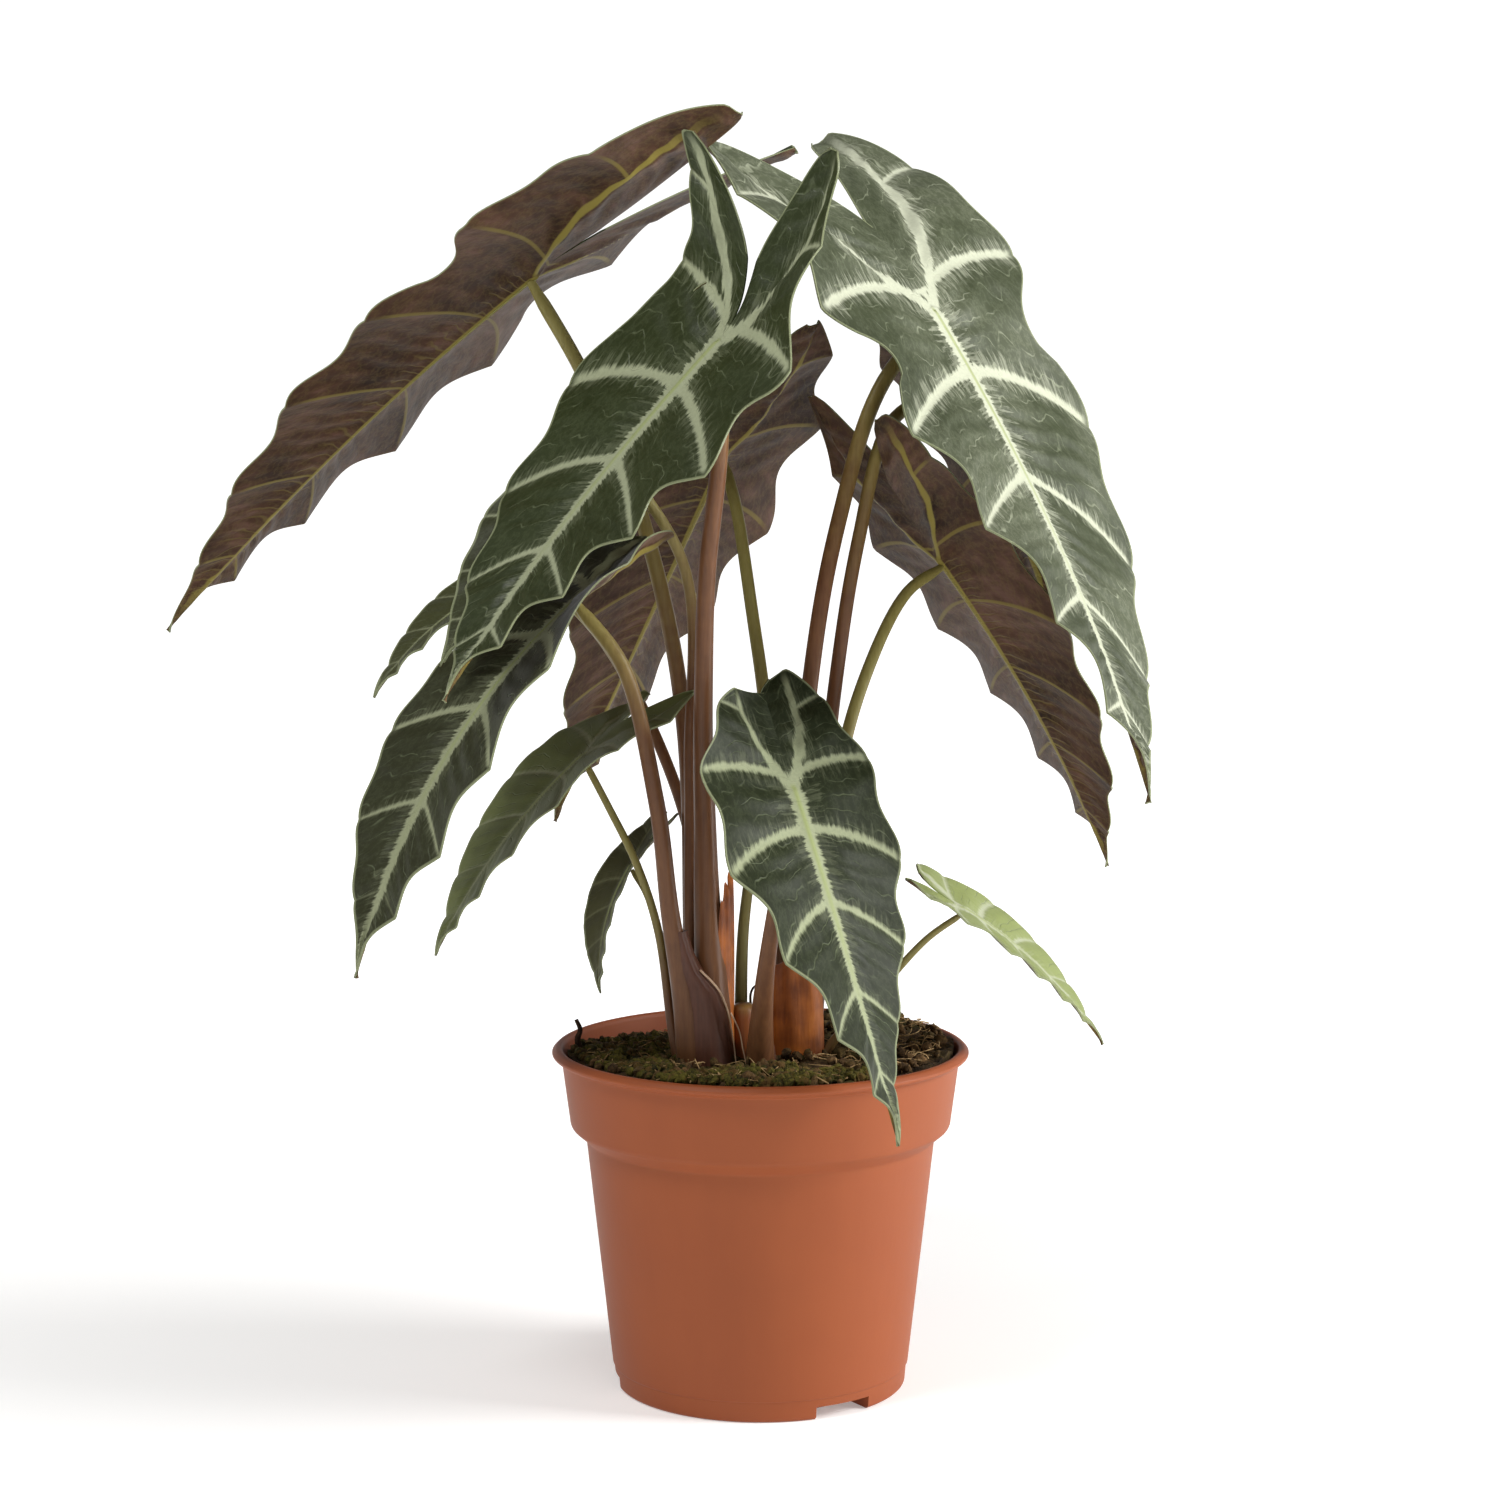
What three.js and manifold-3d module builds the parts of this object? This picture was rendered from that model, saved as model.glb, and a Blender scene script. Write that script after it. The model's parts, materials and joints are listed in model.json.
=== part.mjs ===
// A potted alocasia polly: arrow-shaped leaves on upright stalks, two crowns, soil and a nursery pot.
// Millimetres, +Z up. The origin is the centre of the pot's flat underside, and -Y is the front.

import * as THREE from 'three';
import { mergeVertices } from 'three/addons/utils/BufferGeometryUtils.js';
import Module from 'manifold-3d';

const wasm = await Module();
wasm.setup();

// Driving dimensions of the pot
const RIM_RADIUS = 60;
const POT_HEIGHT = 99;
const FOOT_RADIUS = 42.2;
const WALL = 1.3;
const LIP_HEIGHT = 3.2;
const COLLAR_TOP_RADIUS = 57.2;
const COLLAR_FOOT_RADIUS = 54.8;
const COLLAR_FOOT_Z = 76.5;
const BODY_TOP_RADIUS = 50.3;
const BODY_TOP_Z = 72.5;
const FLOOR = 1.6;
const FOOT_STEP_Z = 6;
const FOOT_STEP = 0.35;
const POT_SEGMENTS = 44;

// The three raised drain pockets round the foot, as angles from the front towards the right
const DRAIN_ANGLES = [34, 154, 274];
const DRAIN_WIDTH = 18;
const DRAIN_HEIGHT = 3.8;
const DRAIN_DEPTH = 10;
const DRAIN_HOLE_RADIUS = 2.6;

// Soil, crowns and the clearance that touching pieces keep
const GAP = 0.3;
const SOIL_LEVEL = 97;
const SOIL_DIP = 5;
const SLOPE_START = 0.3;
const SOIL_WAVES = 0.3;
const CROWNS = {
  crown_left: { x: -15.5, y: -13.5, width: 17, depth: 19, top: 104 },
  crown_right: { x: 11, y: -2.5, width: 14, depth: 17, top: 104 },
  crown_front: { x: 0.2, y: -19.5, width: 9, depth: 9.5, top: 103 },
};

// The cut stump and the bare stalk between the crowns, as points up their middles
const STUBS = {
  cut_stump: { points: [[-4, -10.5, 90], [-4.5, -11, 103], [-5, -11.5, 113]], radii: [3, 2.8] },
  spare_stalk: { points: [[-5, -3.5, 90], [-5.5, -4, 112], [-5, -4, 132], [-3, -4, 150]], radii: [2, 1.6] },
};

// Dry leaf bases that stand round the stalks, facing outwards at an angle from +X
const SHEATHS = {
  sheath_left: { x: -14.3, y: -17, foot: 104.5, height: 46, radius: 5.6, facing: -30, arc: 90 },
  sheath_right: { x: 11, y: -2.5, foot: 98.8, height: 31, radius: 9.5, facing: -100, arc: 84 },
};

// Moss cushions on the soil: place, width, depth and height
const MOSS = {
  moss_left: { x: -38, y: -12, width: 24, depth: 38, height: 2.4 },
  moss_front: { x: 4, y: -41, width: 58, depth: 15, height: 2 },
};

// Leaf blades
const BLADE_THICKNESS = 1.1;
const VEIN_STARTS = [-1, -0.65, -0.42, -0.2, -0.04, 0.12, 0.33, 0.58, 0.8, 1, 1.2];
const VEIN_LEANS = [-1, -0.95, -0.9, -0.7, -0.4, 0.1, 0.35, 0.5, 0.6, 0.6, 0.6];
const VEIN_SWEEP = 0.3;
const SCALLOP = 0.055;
const SMALL_LEAF = 25;
const SWAY_START = 15;

// Each leaf hangs from its junction, where the stalk joins, to its tip. arch lifts the midrib above
// the straight line between them and bow pushes it sideways. roll and twist turn the blade about it.
// A pair holds a value for the right half and one for the left, as seen from the tip: how wide it is,
// how far it folds up, and how long and wide its rear lobe is and how far that bends down. sway moves
// both lobes sideways, and scallop says how deep its margin is scalloped.
const LEAVES = {
  upper_left: {
    junction: [-66, 19, 319], tip: [-176, 38, 216], arch: 5, bow: -4, roll: 8, twist: 5,
    widths: [38, 39], lobes: [91, 80], lobeWidths: [1.45, 1.25], spread: 29, sway: -0.39, notch: 23,
    folds: [11, 4], lobeFold: 9, lobeBends: [10, 17], scallop: 1.1, stalkRadii: [2.6, 2],
    stalk: [[-17, -8.5, 90], [-19, -7, 108], [-22, 5, 193], [-33, 8, 247], [-50, 16, 289]],
  },
  high_front: {
    junction: [-12, -36, 299], tip: [-84, -69, 205], arch: -4, bow: -10, roll: -19, twist: 9,
    widths: [38, 37], lobes: [64, 53], lobeWidths: [0.88, 0.62], spread: 20, sway: -0.53, notch: 23,
    folds: [5, 3], lobeFold: 19, lobeBends: [-16, -47], scallop: 1, stalkRadii: [3.1, 2.2],
    stalk: [[-12.5, -16.5, 90], [-13.5, -17, 108], [-16, -17, 187], [-15, -22, 234], [-11, -30, 275]],
  },
  tucked_left: {
    junction: [-37, -14, 266], tip: [-88, -35, 211], arch: 6, bow: 0, roll: -28, twist: 0,
    widths: [22, 22], lobes: [22, 22], lobeWidths: [1, 1], spread: 20, sway: 0, notch: 13,
    folds: [10, 10], lobeFold: 10, lobeBends: [5, 5], scallop: 0.5, stalkRadii: [2, 1.5],
    stalk: [[-20.5, -13, 90], [-20, -13, 108], [-20, -7, 180], [-21, -7, 235]],
  },
  tucked_back_left: {
    junction: [-63, 15, 235], tip: [-111, 4, 199], arch: 6, bow: 0, roll: -10, twist: 0,
    widths: [17, 17], lobes: [18, 18], lobeWidths: [1, 1], spread: 20, sway: 0, notch: 12,
    folds: [10, 10], lobeFold: 10, lobeBends: [5, 5], scallop: 0.5, stalkRadii: [2, 1.5],
    stalk: [[-11.5, -9, 90], [-13.5, -2.5, 108], [-22, 9, 165], [-44, 17, 212]],
  },
  lower_left: {
    junction: [-51, -24, 229], tip: [-110, -54, 128], arch: 10, bow: 3, roll: 6, twist: -38,
    widths: [31, 29], lobes: [32, 34], lobeWidths: [1, 1], spread: 20, sway: 0, notch: 20,
    folds: [11, 10], lobeFold: 12, lobeBends: [15, 15], scallop: 0.55, stalkRadii: [2.8, 1.9],
    stalk: [[-18, -18.5, 90], [-20, -20, 108], [-25, -25, 140], [-29, -28, 173], [-38, -28, 210]],
  },
  back_centre: {
    junction: [-11, 33, 268], tip: [-64, 76, 154], arch: 4, bow: -4, roll: 10, twist: -21,
    widths: [34, 34], lobes: [68, 55], lobeWidths: [1.05, 1.1], spread: 19, sway: 0.25, notch: 26,
    folds: [3, 4], lobeFold: 2, lobeBends: [13, 14], scallop: 1, stalkRadii: [2.2, 1.7],
    stalk: [[8, 2.5, 90], [7, 3, 108], [2, 9, 190], [-2, 14, 220], [-7, 22, 252]],
  },
  back_right: {
    junction: [53, 24, 237], tip: [107, 62, 142], arch: 1, bow: -5, roll: -2, twist: 15,
    widths: [31, 31], lobes: [65, 56], lobeWidths: [1, 1], spread: 19, sway: -0.25, notch: 30,
    folds: [8, 8], lobeFold: 2, lobeBends: [-3, 17], scallop: 0.9, stalkRadii: [2.2, 1.6],
    stalk: [[14.5, -3, 90], [16, -2, 108], [22, 1, 175], [30, 5, 205], [42, 15, 228]],
  },
  upper_right: {
    junction: [50, 19, 309], tip: [105, -54, 176], arch: -2, bow: 14, roll: -13, twist: -23,
    widths: [44, 46], lobes: [86, 83], lobeWidths: [1.35, 1.12], spread: 29, sway: 0, notch: 29,
    folds: [7, -2], lobeFold: 3, lobeBends: [48, 28], scallop: 1, stalkRadii: [2.6, 2.1],
    stalk: [[8.5, -5.5, 90], [9, -5.5, 108], [14, -2, 203], [23, 3, 253], [34, 9, 287]],
  },
  hidden_right: {
    junction: [54, 43, 289], tip: [94, 81, 206], arch: 6, bow: 0, roll: -10, twist: 0,
    widths: [22, 22], lobes: [28, 28], lobeWidths: [1, 1], spread: 20, sway: 0, notch: 20,
    folds: [10, 10], lobeFold: 8, lobeBends: [5, 5], scallop: 0.6, stalkRadii: [2.3, 1.8],
    stalk: [[12.5, 2, 90], [14, 3, 108], [21, 7, 198], [28, 7, 244], [36, 12, 275]],
  },
  front_low: {
    junction: [9, -40, 178], tip: [37, -72, 86], arch: 5, bow: -2, roll: 13, twist: -46,
    widths: [26, 30], lobes: [41, 33], lobeWidths: [1, 1.1], spread: 15, sway: 0, notch: 30,
    folds: [5, 4], lobeFold: 6, lobeBends: [16, -4], scallop: 0.8, stalkRadii: [2.6, 1.7],
    stalk: [[0, -18, 88], [0, -21, 100], [1, -29, 121], [4, -37, 145]],
  },
  small_left: {
    junction: [-50, -9, 184], tip: [-92, -18, 128], arch: 4, bow: 1, roll: -10, twist: 2,
    widths: [21, 21], lobes: [37, 30], lobeWidths: [1, 1], spread: 22, sway: 0, notch: 14,
    folds: [10, 11], lobeFold: -6, lobeBends: [9, 10], scallop: 0.4, stalkRadii: [1.4, 1],
    stalk: [[-22, -16.5, 92], [-25, -14, 106], [-29, -12, 134], [-35, -12, 153], [-43, -10, 169]],
  },
  young_left: {
    junction: [-37, 2, 151], tip: [-46, -7, 115], arch: 3, bow: -1, roll: 20, twist: 0,
    widths: [12, 12], lobes: [20, 20], lobeWidths: [1, 1], spread: 16, sway: 0, notch: 8,
    folds: [22, 22], lobeFold: 15, lobeBends: [15, 15], scallop: 0.4, stalkRadii: [1.2, 0.9],
    stalk: [[-21.5, -9, 92], [-24.5, -6, 106], [-28, -2, 128], [-33, 1, 143]],
  },
  young_right: {
    junction: [57, -15, 141], tip: [98, -10, 101], arch: 2, bow: 5, roll: 14, twist: 2,
    widths: [15, 15], lobes: [18, 25], lobeWidths: [1, 1], spread: 18, sway: 0.06, notch: 13,
    folds: [8, 8], lobeFold: 9, lobeBends: [-13, -3], scallop: 0.5, stalkRadii: [1.3, 0.9],
    stalk: [[15, -7, 91], [20, -7.5, 100], [34, -11, 117], [47, -14, 132]],
  },
};

const material = (color, roughness) => new THREE.MeshStandardMaterial({ color, roughness, metalness: 0 });
const MATERIALS = {
  pot: () => material('#a35a3e', 0.5),
  soil: () => material('#2e2418', 0.95),
  moss: () => material('#4a4a1c', 0.95),
  blade: () => material('#2f4527', 0.35),
  stalk: () => material('#6e463a', 0.5),
  crown: () => material('#7a4a24', 0.8),
  sheath: () => material('#8a5a2c', 0.7),
};

const radians = THREE.MathUtils.degToRad;
const smoothstep = THREE.MathUtils.smoothstep;
const plant = new THREE.Group();

function addPiece(name, geometry, finish) {
  const mesh = new THREE.Mesh(geometry, MATERIALS[finish]());
  mesh.name = name;
  plant.add(mesh);
}

// A closed geometry with merged vertices, as a solid that can be cut and joined
function solidOf(geometry) {
  const bare = geometry.clone();
  bare.deleteAttribute('normal');
  bare.deleteAttribute('uv');
  const merged = mergeVertices(bare, 1e-4);
  return new wasm.Manifold(new wasm.Mesh({
    numProp: 3,
    vertProperties: new Float32Array(merged.attributes.position.array),
    triVerts: new Uint32Array(merged.index.array),
  }));
}

// The largest body of a solid, as a geometry
function geometryOf(solid) {
  const bodies = solid.decompose().sort((a, b) => b.volume() - a.volume());
  const mesh = bodies[0].getMesh();
  const geometry = new THREE.BufferGeometry();
  geometry.setAttribute('position', new THREE.BufferAttribute(new Float32Array(mesh.vertProperties), 3));
  geometry.setIndex(new THREE.BufferAttribute(new Uint32Array(mesh.triVerts), 1));
  return geometry;
}

// Turned about +Z, because a lathe's own axis is Y
function lathe(points, segments) {
  const profile = points.map(([radius, z]) => new THREE.Vector2(radius, z));
  return new THREE.LatheGeometry(profile, segments).rotateX(Math.PI / 2);
}

// The inner radius of the pot at a height
function innerRadius(z) {
  if (z > BODY_TOP_Z) {
    const share = (z - COLLAR_FOOT_Z) / (POT_HEIGHT - COLLAR_FOOT_Z);
    return COLLAR_FOOT_RADIUS + (COLLAR_TOP_RADIUS - COLLAR_FOOT_RADIUS) * share - WALL;
  }
  return FOOT_RADIUS + (BODY_TOP_RADIUS - FOOT_RADIUS) * (z / BODY_TOP_Z) - WALL;
}

// The soil clears the wall where it lies lowest, and the wall widens above that
const soilRadius = innerRadius(SOIL_LEVEL - SOIL_DIP) - GAP;

// A wedge-sided block under the floor at each drain pocket, grown by a margin all round
function drainBlock(angle, margin, bottom) {
  const height = DRAIN_HEIGHT + margin - bottom;
  const depth = DRAIN_DEPTH + margin;
  const block = new THREE.BoxGeometry(DRAIN_WIDTH + 2 * margin, depth + 6, height);
  block.translate(0, -(FOOT_RADIUS - DRAIN_DEPTH) - (depth + 6) / 2 + margin, bottom + height / 2);
  return solidOf(block.rotateZ(radians(angle)));
}

// A moulded nursery pot: rolled lip, tall collar, tapering body and a floor with three drain pockets
function pot() {
  const lipZ = POT_HEIGHT - LIP_HEIGHT;
  const bodyAt = (z) => FOOT_RADIUS + (BODY_TOP_RADIUS - FOOT_RADIUS) * (z / BODY_TOP_Z);
  const shell = lathe([
    [0, 0],
    [FOOT_RADIUS - FOOT_STEP - 0.8, 0],
    [FOOT_RADIUS - FOOT_STEP, 0.8],
    [bodyAt(FOOT_STEP_Z) - FOOT_STEP, FOOT_STEP_Z],
    [bodyAt(FOOT_STEP_Z), FOOT_STEP_Z + FOOT_STEP],
    [BODY_TOP_RADIUS, BODY_TOP_Z],
    [COLLAR_FOOT_RADIUS - 0.5, COLLAR_FOOT_Z - 0.6],
    [COLLAR_FOOT_RADIUS, COLLAR_FOOT_Z],
    [COLLAR_TOP_RADIUS, lipZ - 1],
    [RIM_RADIUS - 0.8, lipZ],
    [RIM_RADIUS, lipZ + 0.9],
    [RIM_RADIUS, POT_HEIGHT - 0.9],
    [RIM_RADIUS - 0.9, POT_HEIGHT],
    [COLLAR_TOP_RADIUS - WALL + 0.7, POT_HEIGHT],
    [COLLAR_TOP_RADIUS - WALL, POT_HEIGHT - 0.8],
    [innerRadius(COLLAR_FOOT_Z), COLLAR_FOOT_Z + 0.5],
    [innerRadius(BODY_TOP_Z), BODY_TOP_Z + 0.9],
    [innerRadius(FLOOR + 1), FLOOR + 1],
    [innerRadius(FLOOR) - 1, FLOOR],
    [0, FLOOR],
  ], POT_SEGMENTS);
  const outside = lathe([
    [0, 0],
    [FOOT_RADIUS - FOOT_STEP - 0.1, 0],
    [bodyAt(FOOT_STEP_Z + 6) - FOOT_STEP - 0.1, FOOT_STEP_Z + 6],
    [0, FOOT_STEP_Z + 6],
  ], POT_SEGMENTS);
  let body = solidOf(shell);
  for (const angle of DRAIN_ANGLES) {
    const roof = drainBlock(angle, WALL, 0.4).intersect(solidOf(outside));
    body = body.add(roof).subtract(drainBlock(angle, 0, -1));
    const hole = new THREE.CylinderGeometry(DRAIN_HOLE_RADIUS, DRAIN_HOLE_RADIUS, 20, 16);
    hole.rotateX(Math.PI / 2).translate(0, -(FOOT_RADIUS - DRAIN_DEPTH / 2 - 1), 0).rotateZ(radians(angle));
    body = body.subtract(solidOf(hole));
  }
  return geometryOf(body);
}

// Uneven soil: it slopes down to the back left, and its gentle waves fade out there and at the wall
function soilHeight(x, y) {
  const share = Math.hypot(x, y) / soilRadius;
  const slope = Math.max(0, (0.8 * y - 0.6 * x) / soilRadius - SLOPE_START) / (1 - SLOPE_START);
  const waves = Math.sin(x * 0.21 + 1.3) * Math.cos(y * 0.17 - 0.4) + 0.6 * Math.sin(x * 0.43 - y * 0.37);
  const fade = (1 - smoothstep(share, 0.75, 1)) * Math.max(0, 1 - 2 * slope);
  return SOIL_LEVEL - SOIL_DIP * slope + SOIL_WAVES * waves * fade;
}

// The soil fills the pot, with a socket for each crown and stalk that goes down into it
function soil(sockets) {
  const rings = 7;
  const top = [];
  for (let ring = 0; ring <= rings; ring += 1) {
    top.push([soilRadius * (1 - ring / rings), SOIL_LEVEL]);
  }
  const body = lathe([
    [0, FLOOR + GAP],
    [innerRadius(FLOOR) - 1.7, FLOOR + GAP],
    [innerRadius(8) - GAP, 8],
    [innerRadius(BODY_TOP_Z) - GAP, BODY_TOP_Z + 1.4],
    [innerRadius(COLLAR_FOOT_Z) - GAP, COLLAR_FOOT_Z + 1],
    ...top,
  ], POT_SEGMENTS);
  const position = body.attributes.position;
  for (let i = 0; i < position.count; i += 1) {
    if (position.getZ(i) > SOIL_LEVEL - 0.1) {
      const x = position.getX(i);
      const y = position.getY(i);
      position.setZ(i, soilHeight(x, y));
    }
  }
  let ground = solidOf(body);
  for (const angle of DRAIN_ANGLES) ground = ground.subtract(drainBlock(angle, WALL + GAP, -1));
  for (const socket of sockets) ground = ground.subtract(socket);
  return geometryOf(ground);
}

// A cushion of moss that follows the soil under it
function moss({ x, y, width, depth, height }) {
  const cushion = new THREE.SphereGeometry(1, 16, 8);
  const position = cushion.attributes.position;
  for (let i = 0; i < position.count; i += 1) {
    const px = x + position.getX(i) * width / 2;
    const py = y + position.getZ(i) * depth / 2;
    const lift = position.getY(i) * (position.getY(i) > 0 ? 0.8 * height : 0.2 * height);
    position.setXYZ(i, px, py, soilHeight(px, py) + 2 * GAP + 0.2 * height + lift);
  }
  cushion.index.array.reverse();
  return cushion;
}

// The blunt top of a corm with its old leaf bases, oval in plan
function crown({ x, y, width, depth, top }, grow = 0) {
  const low = SOIL_LEVEL - 15 - grow;
  const body = lathe([
    [0, low],
    [0.3 + grow * 0.02, low],
    [0.42 + grow * 0.06, low + 5],
    [0.5 + grow * 0.06, SOIL_LEVEL - 3],
    [0.49 + grow * 0.06, (SOIL_LEVEL + top) / 2 - 1.5],
    [0.4 + grow * 0.06, top - 1.2 + grow],
    [0.3, top + grow],
    [0, top + grow],
  ], 20);
  return body.scale(width, depth, 1).translate(x, y, 0);
}

// A tapered round stalk along a smooth curve, grown by a margin for cutting its socket
function stalk(points, [footRadius, topRadius], grow = 0) {
  const path = points.map((point) => new THREE.Vector3(...point));
  path[0].z -= grow;
  const curve = new THREE.CatmullRomCurve3(path, false, 'centripetal');
  const steps = 9;
  const sides = 8;
  const rod = new THREE.CylinderGeometry(1, 1, 1, sides, steps).rotateX(Math.PI / 2);
  const frames = curve.computeFrenetFrames(steps, false);
  const position = rod.attributes.position;
  for (let i = 0; i < position.count; i += 1) {
    const share = position.getZ(i) + 0.5;
    const step = Math.round(share * steps);
    const radius = footRadius + (topRadius - footRadius) * share + grow;
    const place = curve.getPointAt(share)
      .addScaledVector(frames.normals[step], position.getX(i) * radius)
      .addScaledVector(frames.binormals[step], position.getY(i) * radius);
    position.setXYZ(i, place.x, place.y, place.z);
  }
  return rod;
}

// A dry papery leaf base: a crescent plate that hugs the stalks and narrows to a torn point
function sheath({ x, y, foot, height, radius, facing, arc }) {
  const outline = new THREE.Shape();
  const half = radians(arc / 2);
  outline.absarc(0, 0, radius, -half, half, false);
  outline.absarc(0, 0, radius - 0.9, half, -half, true);
  outline.closePath();
  const rise = { depth: height, steps: 6, curveSegments: 4, bevelEnabled: false };
  const plate = new THREE.ExtrudeGeometry(outline, rise);
  const position = plate.attributes.position;
  for (let i = 0; i < position.count; i += 1) {
    const share = position.getZ(i) / height;
    const angle = Math.atan2(position.getY(i), position.getX(i)) * (1 - 0.85 * share ** 2);
    const r = Math.hypot(position.getX(i), position.getY(i));
    position.setXYZ(i, r * Math.cos(angle), r * Math.sin(angle), foot + position.getZ(i));
  }
  return plate.rotateZ(radians(facing)).translate(x, y, 0);
}

// The flat outline of half a blade, from the tip round its side and rear lobe to the notch.
// u runs along the midrib from the junction, v out from it. Half 0 is the right one.
function halfOutline(length, leaf, half) {
  const width = leaf.widths[half];
  const lobe = leaf.lobes[half];
  const slim = leaf.lobeWidths[half];
  const angle = radians(leaf.spread);
  const along = new THREE.Vector2(-Math.cos(angle), Math.sin(angle));
  const outward = new THREE.Vector2(Math.sin(angle), Math.cos(angle));
  const margin = [[1, 0], [0.94, 0.06], [0.86, 0.22], [0.72, 0.5], [0.54, 0.77], [0.34, 0.94], [0.14, 1]];
  const points = margin.map(([u, v]) => new THREE.Vector2(u * length, v * width));
  const rear = [
    [0.1, 0.95], [0.36, 0.37 * (1 + slim)], [0.66, 0.5 * slim],
    [0.88, 0.27 * slim], [1, 0.03], [0.93, -0.13 * slim],
  ];
  for (const [back, out] of rear) {
    points.push(along.clone().multiplyScalar(back * lobe).addScaledVector(outward, out * width));
  }
  const notch = new THREE.Vector2(-leaf.notch, 0);
  const lobeTip = points[points.length - 1].clone();
  for (const share of [0.4, 0.75]) {
    const inner = lobeTip.clone().lerp(notch, share);
    inner.y = Math.max(inner.y - 0.04 * width * Math.sin(Math.PI * share), 0.3);
    points.push(inner);
  }
  points.push(notch);
  return new THREE.SplineCurve(points);
}

// A value read off a rising line of stops
function between(value, stops, values) {
  const i = Math.min(Math.max(stops.findIndex((stop) => value < stop), 1), stops.length - 1);
  const share = (value - stops[i - 1]) / (stops[i] - stops[i - 1]);
  return values[i - 1] + (values[i] - values[i - 1]) * Math.min(Math.max(share, 0), 1);
}

// Which side vein passes through a point: a whole number on each vein
function veinNumber(u, v, length, width) {
  let low = -2;
  let high = 2;
  for (let step = 0; step < 24; step += 1) {
    const start = (low + high) / 2;
    const lean = between(start, VEIN_STARTS, VEIN_LEANS);
    if (start * length + lean * v + VEIN_SWEEP * v * v / width > u) high = start;
    else low = start;
  }
  return between(low, VEIN_STARTS, VEIN_STARTS.map((_, i) => i));
}

// The margin swells at the end of each side vein and dips between them
function scallopedPoint(outline, share, length, width, depth) {
  const point = outline.getPointAt(share);
  const tangent = outline.getTangentAt(share);
  const outward = new THREE.Vector2(-tangent.y, tangent.x);
  if (outward.dot(point) < 0) outward.negate();
  const wave = 0.5 * Math.cos(2 * Math.PI * veinNumber(point.x, point.y, length, width));
  const reach = Math.min(point.y / width, 1) ** 0.6 * smoothstep(point.x / length, -0.45, 0);
  return point.addScaledVector(outward, depth * wave * (point.y > 0 ? reach : 0));
}

// How far a flat point behind the junction is moved sideways for a sway of 1
function swayReach(u) {
  const back = Math.max(-u, 0);
  return back < SWAY_START ? back ** 2 / (2 * SWAY_START) : back - SWAY_START / 2;
}

// Where a flat point of a blade lies in space, lifted off the sheet along its normal
function bladeSheet(leaf) {
  const junction = new THREE.Vector3(...leaf.junction);
  const tip = new THREE.Vector3(...leaf.tip);
  const chord = tip.clone().sub(junction);
  const length = chord.length() * (1 + 8 / 3 * (leaf.arch / chord.length()) ** 2);
  const forward = chord.clone().normalize();
  const up = new THREE.Vector3(0, 0, 1).projectOnPlane(forward).normalize();
  up.applyAxisAngle(forward, radians(leaf.roll));
  const aside = up.clone().cross(forward);
  const middle = junction.clone().lerp(tip, 0.5)
    .addScaledVector(up, 2 * leaf.arch).addScaledVector(aside, 2 * leaf.bow);
  const midrib = new THREE.QuadraticBezierCurve3(junction, middle, tip);
  const startTangent = midrib.getTangent(0);
  const startAside = aside.clone().projectOnPlane(startTangent).normalize();
  const startUp = startTangent.clone().cross(startAside);

  const at = (u, v, lift) => {
    const half = v >= 0 ? 0 : 1;
    let place;
    let across;
    let normal;
    let fold = radians(leaf.folds[half]);
    if (u >= 0) {
      const share = Math.min(u / length, 1);
      const tangent = midrib.getTangent(share);
      place = midrib.getPoint(share);
      across = aside.clone().projectOnPlane(tangent).normalize();
      across.applyAxisAngle(tangent, radians(leaf.twist) * share);
      normal = tangent.clone().cross(across);
    } else {
      const lobe = leaf.lobes[half];
      const curvature = radians(leaf.lobeBends[half]) / lobe;
      const turn = -u * curvature;
      place = junction.clone()
        .addScaledVector(startTangent, -Math.sin(turn) / curvature)
        .addScaledVector(startUp, -(1 - Math.cos(turn)) / curvature);
      normal = startUp.clone().multiplyScalar(Math.cos(turn)).addScaledVector(startTangent, -Math.sin(turn));
      across = startAside;
      fold += (radians(leaf.lobeFold) - fold) * smoothstep(-u / lobe, 0, 0.6);
    }
    const swayed = v + leaf.sway * swayReach(u);
    const side = swayed >= 0 ? 1 : -1;
    const reach = Math.abs(swayed);
    return place
      .addScaledVector(across, side * (reach * Math.cos(fold) - lift * Math.sin(fold)))
      .addScaledVector(normal, reach * Math.sin(fold) + lift * Math.cos(fold));
  };
  return { at, length };
}

// A blade is a flattened ball: its poles are the junction's two faces and its equator is the margin
function blade(leaf, thickness) {
  const small = leaf.widths[0] < SMALL_LEAF;
  const around = small ? 32 : 44;
  const rings = small ? 6 : 8;
  const { at, length } = bladeSheet(leaf);
  const depth = SCALLOP * leaf.scallop * length;
  const outlines = [halfOutline(length, leaf, 0), halfOutline(length, leaf, 1)];
  const ball = new THREE.SphereGeometry(1, around, rings);
  const position = ball.attributes.position;
  const uv = ball.attributes.uv;
  for (let i = 0; i < position.count; i += 1) {
    const turn = ((uv.getX(i) % 1) + 1) % 1;
    const side = turn < 0.5 ? 1 : -1;
    const share = side > 0 ? turn * 2 : (1 - turn) * 2;
    const half = side > 0 ? 0 : 1;
    const margin = scallopedPoint(outlines[half], Math.min(share, 1), length, leaf.widths[half], depth);
    const height = uv.getY(i);
    const ring = 1 - Math.abs(height - 0.5) * 2;
    const lift = Math.abs(height - 0.5) < 1e-6 ? 0 : Math.sign(height - 0.5) * thickness / 2;
    const place = at(margin.x * ring, side * margin.y * ring, lift);
    position.setXYZ(i, place.x, place.y, place.z);
  }
  return ball;
}

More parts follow.
